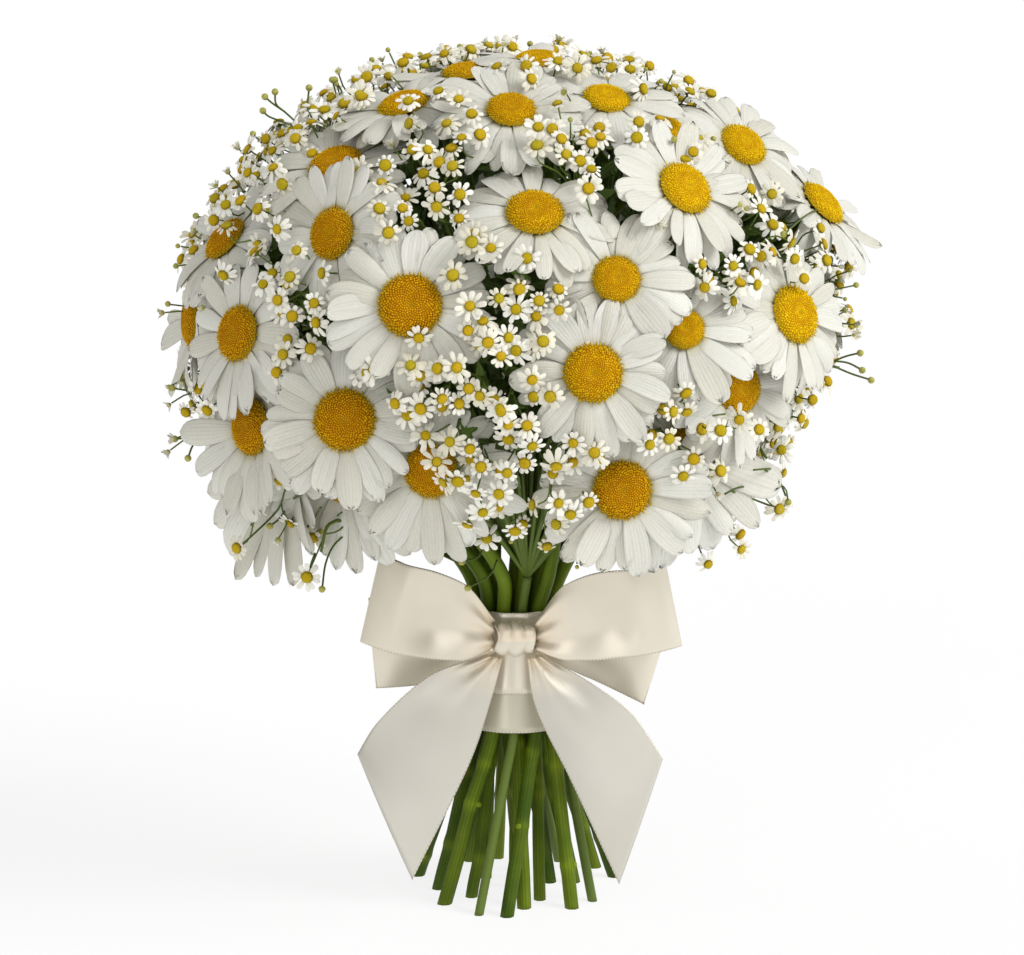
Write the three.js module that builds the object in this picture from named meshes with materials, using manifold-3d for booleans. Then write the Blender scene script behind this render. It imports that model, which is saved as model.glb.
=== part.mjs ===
// A hand-tied bunch of daisies: big white daisies in a dome, with sprays of small chamomile
// between them, bound at the waist and finished with a satin ribbon bow. Millimetres, +Z up.
// The bunch stands on its splayed, level-cut stems. The photograph's camera looks along +Y,
// a little from above.

import * as THREE from "three";
import { mergeVertices } from "three/addons/utils/BufferGeometryUtils.js";
import Module from "manifold-3d";

const wasm = await Module();
wasm.setup();

// The 38 mm ribbon sets the scale: one pixel of the photograph is 0.4 mm at the bunch's axis.
const MM_PER_PIXEL = 0.4;
const CAMERA_RISE = THREE.MathUtils.degToRad(12);
const CAMERA_DISTANCE = 2000;
const AXIS_PIXEL = 515;
const PICTURE_MIDDLE = { across: 512, down: 477.5 };
const TARGET_HEIGHT = 170;

// The dome that the discs of the big daisies lie on: round above its middle, boxier below.
const DOME = { radius: 127, middle: 240, up: 101, down: 88, roundUp: 2, roundDown: 2.6 };
const SEAT_LOWEST = 178;
const SEAT_TURNED_AWAY = 0.28;
const BLOOM_COUNT = 43;
const SEAT_CHOICES = 1500;
const CROWN_HEIGHT = 304;
const SEEDS = { blooms: 71, sprays: 29 };

// One big daisy: a ring of blunt petals on a hub, a domed disc on it, a green cup under it.
const PETALS = 10;
const PETAL_LENGTH = 17.5;
const PETAL_THICKNESS = 1.2;
const SHORTEST_PETAL = 6;
const PETAL_SHOULDER = 0.58;
const PETAL_HALF_WIDTH = 4.8;
const ROOM = { blooms: 0.9, stems: 2.2 };
const LINK_OVERLAP = 4;
const HUB_SHARE = 0.8;
const HUB_RISE = 0.1;
const HUB_EDGE = -0.9;
const HUB_DEPTH = 1.4;
const DISC_GAP = 0.9;
const DISC_SIDES = 8;
const DISC_TOP = 0.34;
const CUP = { top: 7.5, bottom: 3, depth: 6, gap: 0.35 };
const BACK_DISC = 24.5;

// Stems in rings round the middle one, tightest at the waist and splayed above and below.
const STEM_RADIUS = 2.8;
const STEM_SIDES = 5;
const FORK_RADIUS = 2;
const STEM_LEAN = 0.86;
const STRAIGHT_NECK = 12;
const SLOT_RINGS = [1, 7, 13];
const SLOT_PITCH = 6.2;
const WAIST = 104;
const FOOT_FLARE = 8.6;
const HEAD_FLARE = 18;
const TWIST = THREE.MathUtils.degToRad(24);
const SLOT_LEVELS = [-4, 70, 86, WAIST, 119, 134];
const TAPE = { low: 92, high: 108, sides: 16 };

// Where each slot's stem is cut on the ground, as (x, y): as the photograph shows for those in
// front, and evenly for those that it hides.
const FEET = [
  [0, 0],
  [24, 6], [14, 6], [2, 24], [-12, 12], [-17.6, -14.9], [3.6, -30.3], [10, -18.8],
  [40.8, 14], [32.8, 27.4], [18, 36], [-7, 40.9], [-18.8, 37], [-26, 18], [-40, 15.9],
  [-31, -3.4], [-28.4, -24.5], [-14.4, -39.9], [-3.2, -41.8], [22.8, -30.3], [31.2, -20.7],
];

// Chamomile: four branching stalks, each with several clusters of small flowers.
const SPRAYS = { front: -90, right: 0, back: 90, left: 180 };
const TRUNK_RADIUS = 1.9;
const BRANCH_RADIUS = 1.1;
const PEDICEL_RADIUS = 0.7;
const SMALL_FLOWER = { radius: 6, notch: 3.2, petals: 6, rise: 1.8, drop: 2.2 };
const FLOWERS_PER_CLUSTER = 3;
const CLUSTERS_PER_SPRAY = 5;
const CLEAR = 0.35;

// Leaves between the flowers, lobed like a daisy's.
const LEAF = { length: 34, width: 7, thickness: 0.8, count: 6 };

// The satin ribbon: two wraps round the waist, a knot, four loops and two tails.
const SATIN = 1;
const WRAP = { low: 70, step: 86, high: 119, sides: 20, gap: 0.4 };
const KNOT = { height: 109.5, width: 15, tall: 13, deep: 8 };

// Each loop runs out from the knot in front, folds, and comes back behind. Each station is the
// ribbon's middle (out from the axis, y, z) and its half width (out, z).
const LOOPS = {
  upper_left: [
    { out: 8.4, y: -23, z: 110.8, half: [0, 6] },
    { out: 20, y: -29.5, z: 115, half: [-0.5, 13.6] },
    { out: 33, y: -32, z: 119.6, half: [-1.5, 17.2] },
    { out: 46, y: -30.5, z: 123, half: [-3, 18] },
    { out: 57.4, y: -24, z: 126.5, half: [-4.2, 18] },
    { out: 40, y: -18, z: 119.6, half: [-2.5, 16] },
    { out: 21, y: -21.5, z: 113.2, half: [0, 10.5] },
    { out: 8.6, y: -21, z: 110, half: [0, 5] },
  ],
  lower_left: [
    { out: 8.4, y: -22.4, z: 108, half: [0, 4.6] },
    { out: 30, y: -17.5, z: 103.5, half: [0.5, 14.5] },
    { out: 57, y: -13, z: 105.6, half: [1, 18] },
    { out: 33, y: -10, z: 103.5, half: [0.5, 14] },
    { out: 9.4, y: -20.6, z: 108, half: [0, 4.6] },
  ],
  upper_right: [
    { out: 8.4, y: -23, z: 110.8, half: [0, 6] },
    { out: 20, y: -29.5, z: 115, half: [-0.4, 13.4] },
    { out: 34, y: -32, z: 119.2, half: [-1.2, 17.4] },
    { out: 50, y: -30.5, z: 121.4, half: [-2.4, 17.2] },
    { out: 63, y: -24, z: 123.4, half: [-3.4, 16.6] },
    { out: 44, y: -18, z: 118.6, half: [-2, 15.5] },
    { out: 22, y: -21.5, z: 113, half: [0, 10.5] },
    { out: 8.6, y: -21, z: 110, half: [0, 5] },
  ],
  lower_right: [
    { out: 8.4, y: -22.4, z: 108, half: [0, 4.6] },
    { out: 30, y: -17.5, z: 104.5, half: [2, 13] },
    { out: 57, y: -13, z: 98.8, half: [5, 18] },
    { out: 33, y: -10, z: 103, half: [2, 13] },
    { out: 9.4, y: -20.6, z: 108, half: [0, 4.6] },
  ],
};

// Each tail's two edges from under the knot to its slanted cut, as (out, y, z).
const TAILS = {
  left: {
    inner: [[5, -23.5, 101.6], [10, -25, 83], [17.2, -26, 61], [41.8, -27, 14.4]],
    outer: [[11, -23.5, 102.4], [35, -26, 95.5], [54.8, -27, 76.4], [63.2, -27, 60]],
  },
  right: {
    inner: [[5, -23.5, 101.6], [7.8, -25, 83], [22.8, -26, 51], [43.2, -27, 10.8]],
    outer: [[11, -23.5, 102.4], [32, -26, 91.5], [47, -27, 80], [59.3, -27, 58.8]],
  },
};

// The daisies that the photograph shows: where each disc's middle is (across, down) and the
// disc's longest width, in pixels; how far its face is turned to the right and nods up from
// the camera, in degrees; and how deep it sits under the dome, in millimetres.
const SEEN_DAISIES = [
  { across: 410, down: 306, disc: 65, turn: 0, nod: 4, sunk: 0 },
  { across: 345, down: 420, disc: 63, turn: -6, nod: 0, sunk: 0 },
  { across: 593, down: 373, disc: 60, turn: 2, nod: 0, sunk: 0 },
  { across: 622, down: 490, disc: 60, turn: 4, nod: -4, sunk: 0 },
  { across: 618, down: 279, disc: 49, turn: 5, nod: 14, sunk: 2 },
  { across: 535, down: 212, disc: 59, turn: 5, nod: 40, sunk: 2 },
  { across: 680, down: 194, disc: 58, turn: 33, nod: 27, sunk: -3 },
  { across: 745, down: 143, disc: 50, turn: 32, nod: 34, sunk: 2 },
  { across: 793, down: 315, disc: 60, turn: 42, nod: 12, sunk: 0 },
  { across: 695, down: 330, disc: 44, turn: 12, nod: 16, sunk: 8 },
  { across: 753, down: 395, disc: 52, turn: 36, nod: -8, sunk: 8 },
  { across: 334, down: 234, disc: 54, turn: -38, nod: 8, sunk: 0 },
  { across: 240, down: 334, disc: 57, turn: -46, nod: 6, sunk: 0 },
  { across: 247, down: 430, disc: 60, turn: -52, nod: -4, sunk: 3 },
  { across: 427, down: 483, disc: 56, turn: -8, nod: -14, sunk: 7 },
  { across: 332, down: 162, disc: 56, turn: -24, nod: 46, sunk: 3 },
  { across: 403, down: 102, disc: 52, turn: -28, nod: 60, sunk: 2 },
  { across: 220, down: 238, disc: 50, turn: -54, nod: 36, sunk: 3 },
  { across: 511, down: 112, disc: 50, turn: 4, nod: 46, sunk: 0 },
  { across: 608, down: 97, disc: 50, turn: 18, nod: 54, sunk: 2 },
  { across: 676, down: 115, disc: 44, turn: 32, nod: 52, sunk: 8 },
  { across: 821, down: 205, disc: 52, turn: 58, nod: 38, sunk: 0 },
  { across: 540, down: 58, disc: 50, turn: 6, nod: 72, sunk: 2 },
  { across: 466, down: 68, disc: 50, turn: -10, nod: 72, sunk: 3 },
  { across: 190, down: 320, disc: 54, turn: -76, nod: 2, sunk: 2 },
  { across: 258, down: 486, disc: 54, turn: -52, nod: -22, sunk: 13 },
  { across: 328, down: 508, disc: 56, turn: -26, nod: -34, sunk: 13 },
  { across: 700, down: 474, disc: 54, turn: 34, nod: -18, sunk: 13 },
];

const FINISHES = {
  petal: { color: 0xf4f4f0, roughness: 0.6, metalness: 0 },
  disc: { color: 0xe0a012, roughness: 0.8, metalness: 0 },
  green: { color: 0x5f8a2c, roughness: 0.55, metalness: 0 },
  chamomile: { color: 0xe8e9cf, roughness: 0.7, metalness: 0 },
  satin: { color: 0xf0e8da, roughness: 0.35, metalness: 0 },
};

function evenShares(steps) {
  return Array.from({ length: steps + 1 }, (_, step) => step / steps);
}

function seededRandom(seed) {
  let state = seed;
  return () => {
    state = (state * 16807) % 2147483647;
    return state / 2147483647;
  };
}

// A closed three.js geometry as a manifold solid.
function solidOf(geometry) {
  const bare = geometry.clone();
  bare.deleteAttribute("normal");
  bare.deleteAttribute("uv");
  const merged = mergeVertices(bare, 1e-4);
  return new wasm.Manifold(
    new wasm.Mesh({
      numProp: 3,
      vertProperties: merged.attributes.position.array,
      triVerts: new Uint32Array(merged.index.array),
    }),
  );
}

function geometryFrom(points, triangles) {
  const geometry = new THREE.BufferGeometry();
  const places = points.flatMap((point) => point.toArray());
  geometry.setAttribute("position", new THREE.Float32BufferAttribute(places, 3));
  geometry.setIndex(triangles.flat());
  return geometry;
}

function overlaps(solid, others) {
  return others.some((other) => solid.intersect(other).volume() > 0);
}

// A closed surface over rings of points along a stem, a ribbon or a branch, with flat ends.
function loft(rings) {
  const count = rings[0].length;
  const triangles = [];
  for (let ring = 0; ring < rings.length - 1; ring++) {
    for (let point = 0; point < count; point++) {
      const [low, lowNext] = [ring * count + point, ring * count + ((point + 1) % count)];
      triangles.push([low, lowNext, lowNext + count], [low, lowNext + count, low + count]);
    }
  }
  const end = (rings.length - 1) * count;
  for (let point = 1; point < count - 1; point++) {
    triangles.push([0, point + 1, point], [end, end + point, end + point + 1]);
  }
  return solidOf(geometryFrom(rings.flat(), triangles));
}

// The rings of a stalk through its centres: each ring lies across the way through it.
function stalkRings(centres, radius, sides) {
  let aside = null;
  return centres.map((centre, index) => {
    const ahead = centres[Math.min(index + 1, centres.length - 1)];
    const way = ahead.clone().sub(centres[Math.max(index - 1, 0)]).normalize();
    const alongX = Math.abs(way.x) > 0.8;
    aside = aside || new THREE.Vector3(alongX ? 0 : 1, alongX ? 1 : 0, 0);
    aside = aside.clone().addScaledVector(way, -aside.dot(way)).normalize();
    const up = new THREE.Vector3().crossVectors(way, aside);
    return evenShares(sides)
      .slice(1)
      .map((share) => {
        const across = aside.clone().multiplyScalar(radius * Math.cos(2 * Math.PI * share));
        return across.addScaledVector(up, radius * Math.sin(2 * Math.PI * share)).add(centre);
      });
  });
}

function stalk(centres, radius, sides) {
  return loft(stalkRings(centres, radius, sides));
}

// Points along the last part of a smooth curve through the places, from one of them on.
function curvedFrom(places, start, steps) {
  const curve = new THREE.CatmullRomCurve3(places);
  const first = start / (places.length - 1);
  return evenShares(steps).map((share) => curve.getPoint(first + share * (1 - first)));
}

// How far a point is outside the dome, as a share of its size: 0 on the dome, under 0 inside.
function domeLevel(point) {
  const upper = point.z > DOME.middle;
  const power = upper ? DOME.roundUp : DOME.roundDown;
  const out = Math.hypot(point.x, point.y) / DOME.radius;
  const along = Math.abs(point.z - DOME.middle) / (upper ? DOME.up : DOME.down);
  return Math.pow(Math.pow(out, power) + Math.pow(along, power), 1 / power) - 1;
}

// The way out of the dome at a point: the steepest rise of its level.
function domeOutward(point) {
  const step = 0.5;
  const rise = ["x", "y", "z"].map((axis) => {
    const ahead = point.clone();
    const behind = point.clone();
    ahead[axis] += step;
    behind[axis] -= step;
    return domeLevel(ahead) - domeLevel(behind);
  });
  return new THREE.Vector3(...rise).normalize();
}

// The camera's own directions, and the place on the dome that a pixel of the photograph shows.
const toCamera = new THREE.Vector3(0, -Math.cos(CAMERA_RISE), Math.sin(CAMERA_RISE));
const cameraRight = new THREE.Vector3(1, 0, 0);
const cameraUp = new THREE.Vector3(0, Math.sin(CAMERA_RISE), Math.cos(CAMERA_RISE));
const focalPixels = CAMERA_DISTANCE / MM_PER_PIXEL;
const targetAcross = (PICTURE_MIDDLE.across - AXIS_PIXEL) * MM_PER_PIXEL;
const cameraPlace = new THREE.Vector3(targetAcross, 0, TARGET_HEIGHT).addScaledVector(
  toCamera,
  CAMERA_DISTANCE,
);

function onDome(across, down) {
  const ray = toCamera
    .clone()
    .negate()
    .addScaledVector(cameraRight, (across - PICTURE_MIDDLE.across) / focalPixels)
    .addScaledVector(cameraUp, (PICTURE_MIDDLE.down - down) / focalPixels);
  let nearest = null;
  let nearestLevel = Infinity;
  for (let along = CAMERA_DISTANCE - 160; along < CAMERA_DISTANCE + 60; along += 0.5) {
    const point = cameraPlace.clone().addScaledVector(ray, along);
    const level = domeLevel(point);
    if (level < nearestLevel) {
      nearest = point;
      nearestLevel = level;
    }
    if (level <= 0) return point;
  }
  return nearest;
}

function facing(turn, nod) {
  const right = THREE.MathUtils.degToRad(turn);
  const up = THREE.MathUtils.degToRad(nod);
  return new THREE.Vector3()
    .addScaledVector(cameraRight, Math.sin(right) * Math.cos(up))
    .addScaledVector(cameraUp, Math.sin(up))
    .addScaledVector(toCamera, Math.cos(right) * Math.cos(up));
}

function bloomAt(place, face, disc, random) {
  const across = new THREE.Vector3(-face.y, face.x, 0).normalize();
  const upward = new THREE.Vector3().crossVectors(face, across);
  const droop = 1 + 4 * random();
  const start = random() * 2 * Math.PI;
  return { place, face, across, upward, disc: disc / 2, droop, start, links: [] };
}

// The daisies seen in the photograph, and the dome's far side filled evenly: each next one goes
// to the place that is farthest from all those set before.
function placeBlooms() {
  const random = seededRandom(SEEDS.blooms);
  const blooms = SEEN_DAISIES.map(({ across, down, disc, turn, nod, sunk }) => {
    const seat = onDome(across, down);
    const depth = seat.clone().sub(cameraPlace).dot(toCamera) / -CAMERA_DISTANCE;
    const place = seat.clone().addScaledVector(domeOutward(seat), -sunk);
    return bloomAt(place, facing(turn, nod), disc * MM_PER_PIXEL * depth, random);
  });
  const goldenAngle = Math.PI * (3 - Math.sqrt(5));
  const candidates = [];
  for (let index = 0; index < SEAT_CHOICES; index++) {
    const rise = 1 - (1.75 * (index + 0.5)) / SEAT_CHOICES;
    const level = Math.sqrt(1 - rise * rise);
    const bearing = index * goldenAngle;
    const way = new THREE.Vector3(level * Math.cos(bearing), level * Math.sin(bearing), rise);
    const middle = new THREE.Vector3(0, 0, DOME.middle);
    let reach = DOME.radius;
    for (let turn = 0; turn < 12; turn++) {
      reach /= 1 + domeLevel(middle.clone().addScaledVector(way, reach));
    }
    const place = middle.addScaledVector(way, reach);
    const hidden = domeOutward(place).dot(toCamera) < -SEAT_TURNED_AWAY;
    if (hidden && place.z > SEAT_LOWEST) candidates.push(place);
  }
  const nearest = (place) => Math.min(...blooms.map((bloom) => bloom.place.distanceTo(place)));
  while (blooms.length < BLOOM_COUNT) {
    const place = candidates.reduce((one, other) => (nearest(other) > nearest(one) ? other : one));
    const face = domeOutward(place);
    face.z = Math.max(face.z, -0.2);
    blooms.push(bloomAt(place, face.normalize(), BACK_DISC * (0.94 + 0.1 * random()), random));
  }
  return blooms;
}

// A point of a bloom: an angle round its face, a distance out, and a height along its face.
function bloomPoint(bloom, angle, out, height) {
  return bloom.place
    .clone()
    .addScaledVector(bloom.across, out * Math.cos(angle))
    .addScaledVector(bloom.upward, out * Math.sin(angle))
    .addScaledVector(bloom.face, height);
}

// Petals stop short of the plane halfway to each other bloom, and of every stem.
function hasRoom(bloom, others, stemMarks, point) {
  const clearOfBlooms = others.every((other) => {
    const way = other.place.clone().sub(bloom.place).normalize();
    const halfway = bloom.place.clone().add(other.place).multiplyScalar(0.5);
    return point.clone().sub(halfway).dot(way) < -ROOM.blooms;
  });
  const reach = STEM_RADIUS + ROOM.stems;
  return clearOfBlooms && stemMarks.every((mark) => mark.distanceTo(point) > reach);
}

// The petal ring of one bloom as one closed surface. Each petal is a blade with a raised rib:
// its outline runs from the hub to a shoulder, round a blunt tip and back, and it droops with
// the square of the distance out. It ends where its room does, or at the point of a link.
function petalRing(bloom, others, stemMarks) {
  const hub = bloom.disc * HUB_SHARE;
  const full = bloom.disc + PETAL_LENGTH;
  const height = (out) => -bloom.droop * Math.pow((out - hub) / (full - hub), 2);
  const outline = (angle, tip) => {
    const shoulder = hub + PETAL_SHOULDER * (tip - hub);
    const wide = Math.min(PETAL_HALF_WIDTH, (Math.PI * shoulder) / PETALS - 0.5);
    const narrow = 0.5 * wide;
    return [
      bloomPoint(bloom, angle - wide / shoulder, shoulder, height(shoulder)),
      bloomPoint(bloom, angle - narrow / tip, tip, height(tip)),
      bloomPoint(bloom, angle + narrow / tip, tip, height(tip)),
      bloomPoint(bloom, angle + wide / shoulder, shoulder, height(shoulder)),
    ];
  };
  const points = [bloomPoint(bloom, 0, 0, HUB_RISE), bloomPoint(bloom, 0, 0, -HUB_DEPTH)];
  for (let petal = 0; petal < PETALS; petal++) {
    points.push(bloomPoint(bloom, bloom.start + (2 * Math.PI * (petal - 0.5)) / PETALS, hub, HUB_EDGE));
  }
  const triangles = [];
  for (let petal = 0; petal < PETALS; petal++) {
    const left = 2 + petal;
    const right = 2 + ((petal + 1) % PETALS);
    const angle = bloom.start + (2 * Math.PI * petal) / PETALS;
    const link = bloom.links.find((one) => one.petal === petal);
    let tip = link ? link.out : full;
    while (!link && !outline(angle, tip).every((point) => hasRoom(bloom, others, stemMarks, point))) {
      tip -= 0.5;
      if (tip < hub + SHORTEST_PETAL) break;
    }
    if (tip < hub + SHORTEST_PETAL) {
      triangles.push([0, left, right], [1, right, left]);
      continue;
    }
    const edge = outline(angle, tip);
    if (link) {
      const shoulder = edge[0].clone().add(edge[3]).multiplyScalar(0.5);
      const beyond = link.point.clone().sub(shoulder).setLength(LINK_OVERLAP);
      const aside = edge[2].clone().sub(edge[1]).multiplyScalar(0.5);
      edge[1] = link.point.clone().add(beyond).sub(aside);
      edge[2] = link.point.clone().add(beyond).add(aside);
    }
    const middle = edge[0].clone().add(edge[3]).multiplyScalar(0.5);
    const first = points.length;
    const rib = first + 4;
    points.push(...edge, middle.addScaledVector(bloom.face, PETAL_THICKNESS));
    const rim = [left, first, first + 1, first + 2, first + 3, right];
    for (let step = 0; step < rim.length - 1; step++) {
      triangles.push([rim[step], rim[step + 1], rib]);
    }
    triangles.push([0, left, rib], [0, rib, right], [1, right, left]);
    triangles.push([left, right, first + 3], [left, first + 3, first]);
    triangles.push([first, first + 3, first + 2], [first, first + 2, first + 1]);
  }
  return solidOf(geometryFrom(points, triangles));
}

// Blooms that share a node are joined in a tree by their nearest pairs: in each pair one petal
// of either bloom reaches the same point.
function linkBlooms(group) {
  const joined = group.slice(0, 1);
  const rest = group.slice(1);
  while (rest.length) {
    let best = { reach: Infinity };
    for (const one of joined) {
      for (const other of rest) {
        const reach = one.place.distanceTo(other.place);
        if (reach < best.reach) best = { reach, one, other };
      }
    }
    rest.splice(rest.indexOf(best.other), 1);
    joined.push(best.other);
    const pairs = [
      [best.one, best.other],
      [best.other, best.one],
    ];
    const tips = pairs.map(([from, to]) => {
      const way = to.place.clone().sub(from.place);
      const angle = Math.atan2(way.dot(from.upward), way.dot(from.across));
      const off = (petal) => -Math.cos(angle - from.start - (2 * Math.PI * petal) / PETALS);
      const free = evenShares(PETALS - 1)
        .map((_, petal) => petal)
        .filter((petal) => !from.links.some((link) => link.petal === petal));
      const petal = free.reduce((one, other) => (off(other) < off(one) ? other : one));
      const out = Math.min(from.disc + PETAL_LENGTH, best.reach / 2);
      return { from, petal, out, tip: bloomPoint(from, angle, out, -from.droop) };
    });
    const point = tips[0].tip.clone().add(tips[1].tip).multiplyScalar(0.5);
    tips.forEach(({ from, petal, out }) => from.links.push({ petal, out, point }));
  }
}

// The domed disc: rings of points round the face, every second one raised, as florets in relief.
function discSolid(bloom) {
  const rings = [
    { out: 0.96, height: 0, relief: 0 },
    { out: 1, height: 0.17, relief: 0.05 },
    { out: 0.55, height: 0.4, relief: 0.05 },
  ];
  const points = [bloomPoint(bloom, 0, 0, DISC_GAP)];
  for (const { out, height, relief } of rings) {
    for (let side = 0; side < DISC_SIDES; side++) {
      const lift = side % 2 ? relief : -relief;
      const angle = (2 * Math.PI * side) / DISC_SIDES;
      const up = DISC_GAP + bloom.disc * (height + lift);
      points.push(bloomPoint(bloom, angle, bloom.disc * (out + lift), up));
    }
  }
  points.push(bloomPoint(bloom, 0, 0, DISC_GAP + DISC_TOP * bloom.disc));
  const triangles = [];
  for (let side = 0; side < DISC_SIDES; side++) {
    const next = (side + 1) % DISC_SIDES;
    triangles.push([0, 1 + next, 1 + side]);
    for (let ring = 0; ring < rings.length - 1; ring++) {
      const low = 1 + ring * DISC_SIDES;
      const high = low + DISC_SIDES;
      triangles.push([low + side, low + next, high + next], [low + side, high + next, high + side]);
    }
    const last = 1 + (rings.length - 1) * DISC_SIDES;
    triangles.push([last + side, last + next, points.length - 1]);
  }
  return solidOf(geometryFrom(points, triangles));
}

// The slots of the bundle: the middle one and the rings round it.
function bundleSlots() {
  return SLOT_RINGS.flatMap((count, ring) => {
    const radius = ring ? SLOT_PITCH / (2 * Math.sin(Math.PI / count)) : 0;
    return Array.from({ length: count }, (_, index) => {
      return { ring, radius, angle: (2 * Math.PI * (index + 0.5 * ring)) / count };
    });
  }).map((slot, index) => ({ ...slot, foot: new THREE.Vector3(...FEET[index], 0) }));
}

// How much wider the bundle is at a height than at its waist.
function flareAt(height) {
  const away = (height - WAIST) / WAIST;
  return Math.sqrt(1 + (away < 0 ? FOOT_FLARE : HEAD_FLARE) * away * away);
}

function slotPlace(slot, height) {
  const angle = slot.angle + (TWIST * (height - WAIST)) / WAIST;
  const out = slot.radius * flareAt(height);
  return new THREE.Vector3(out * Math.cos(angle), out * Math.sin(angle), height);
}

// A slot's places from below the ground, in line with its foot, to above the waist.
function slotPlaces(slot) {
  const [, ...above] = SLOT_LEVELS.map((height) => slotPlace(slot, height));
  const [below, first] = SLOT_LEVELS;
  return [slot.foot.clone().lerp(above[0], below / first), ...above];
}

function bundleRadius(height) {
  const outer = SLOT_PITCH / (2 * Math.sin(Math.PI / SLOT_RINGS[2]));
  return outer * flareAt(height) + STEM_RADIUS;
}

// A stem's last stretch: it leans out from where it starts, and comes to the cup from behind.
function stemTop(bloom, from) {
  const cupFoot = -(HUB_DEPTH + CUP.gap + CUP.depth);
  const behind = bloomPoint(bloom, 0, 0, cupFoot - STRAIGHT_NECK);
  const lean = from.clone().lerp(behind, 0.5);
  lean.x *= STEM_LEAN;
  lean.y *= STEM_LEAN;
  return [lean, behind, bloomPoint(bloom, 0, 0, cupFoot)];
}

// A stem that widens into the green cup under its bloom.
function stemSolid({ bloom, centres }, radius) {
  const rings = stalkRings(centres, radius, STEM_SIDES);
  const last = centres.length - 1;
  const first = rings[last][0].clone().sub(centres[last]);
  const start = Math.atan2(first.dot(bloom.upward), first.dot(bloom.across));
  const cupRing = (out, height) => rings[0].map((_, side) => {
    return bloomPoint(bloom, start + (2 * Math.PI * side) / STEM_SIDES, out, height);
  });
  const cupTop = -(HUB_DEPTH + CUP.gap);
  rings[last] = cupRing(CUP.bottom, cupTop - CUP.depth);
  return loft([...rings, cupRing(CUP.top, cupTop)]);
}

// The main stems: the blooms take turns by height, and each takes a slot on its own side.
function mainStems(blooms, slots) {
  const free = [...slots];
  const apart = (one, other) => Math.abs(Math.atan2(Math.sin(one - other), Math.cos(one - other)));
  const byHeight = [...blooms].sort((one, other) => one.place.z - other.place.z);
  const turn = (index) => Math.floor((index * slots.length) / blooms.length);
  const chosen = byHeight.filter((_, index) => turn(index) !== turn(index + 1));
  return chosen.map((bloom) => {
    const bearing = Math.atan2(bloom.place.y, bloom.place.x);
    const cost = (slot) => apart(slot.angle, bearing) - 0.8 * slot.ring;
    free.sort((one, other) => cost(one) - cost(other));
    const slot = free.shift();
    const foot = slotPlaces(slot);
    const places = [...foot, ...stemTop(bloom, foot[foot.length - 1])];
    return { bloom, centres: [...foot.slice(0, -1), ...curvedFrom(places, foot.length - 1, 4)] };
  });
}

// The other blooms' stems fork off the nearest main stem inside the head.
function forkStems(blooms, mains) {
  const forks = mains.flatMap(({ centres }) => centres.slice(-4, -1));
  return blooms
    .filter((bloom) => !mains.some((main) => main.bloom === bloom))
    .map((bloom) => {
      const [, behind, cup] = stemTop(bloom, bloom.place);
      const reach = (fork) => fork.distanceTo(behind) + 2 * Math.max(0, fork.z - behind.z + STRAIGHT_NECK);
      const fork = forks.reduce((one, other) => (reach(other) < reach(one) ? other : one));
      return { bloom, centres: curvedFrom([fork, fork.clone().lerp(behind, 0.55), behind, cup], 0, 3) };
    });
}

// Green binding tape under the ribbon, which holds the stems together.
function tapeSolid() {
  const reach = bundleRadius(WAIST) - 0.3;
  const tape = new THREE.CylinderGeometry(reach, reach, TAPE.high - TAPE.low, TAPE.sides);
  tape.rotateX(Math.PI / 2).translate(0, 0, (TAPE.low + TAPE.high) / 2);
  return solidOf(tape);
}

// Two wraps of ribbon as one sleeve that follows the waist, the upper wrap over the lower.
function wrapSolid() {
  const inside = (height) => bundleRadius(height) + WRAP.gap;
  const heights = [WRAP.low, WRAP.step, WAIST, WRAP.high];
  const inner = heights.map((height) => new THREE.Vector2(inside(height), height));
  const outer = [
    new THREE.Vector2(inside(WRAP.low) + SATIN, WRAP.low),
    new THREE.Vector2(inside(WRAP.step - 1) + SATIN, WRAP.step - 1),
    new THREE.Vector2(inside(WRAP.step) + 2 * SATIN, WRAP.step),
    new THREE.Vector2(inside(WAIST) + 2 * SATIN, WAIST),
    new THREE.Vector2(inside(WRAP.high) + 2 * SATIN, WRAP.high),
  ];
  const profile = [inner[0], ...outer, ...inner.reverse()];
  return solidOf(new THREE.LatheGeometry(profile, WRAP.sides).rotateX(Math.PI / 2));
}

// A ribbon strip as a thin closed solid, from its middle and half width at each step.
function stripSolid(stations) {
  const points = [];
  const triangles = [];
  const last = stations.length - 1;
  stations.forEach(({ centre, half }, step) => {
    const ahead = stations[Math.min(last, step + 1)].centre;
    const behind = stations[Math.max(0, step - 1)].centre;
    const normal = ahead.clone().sub(behind).cross(half).normalize().multiplyScalar(SATIN / 2);
    for (const [side, face] of [[-1, 1], [1, 1], [1, -1], [-1, -1]]) {
      points.push(centre.clone().addScaledVector(half, side).addScaledVector(normal, face));
    }
  });
  for (let step = 0; step < last; step++) {
    const [a, b, c, d] = [0, 1, 2, 3].map((corner) => 4 * step + corner);
    const [A, B, C, D] = [a, b, c, d].map((corner) => corner + 4);
    triangles.push([a, b, B], [a, B, A], [d, D, C], [d, C, c]);
    triangles.push([b, c, C], [b, C, B], [d, a, A], [d, A, D]);
  }
  const end = 4 * last;
  triangles.push([0, 3, 2], [0, 2, 1], [end, end + 1, end + 2], [end, end + 2, end + 3]);
  const solid = solidOf(geometryFrom(points, triangles));
  if (solid.volume() > 0) return solid;
  return solidOf(geometryFrom(points, triangles.map(([one, two, three]) => [one, three, two])));
}

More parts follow.
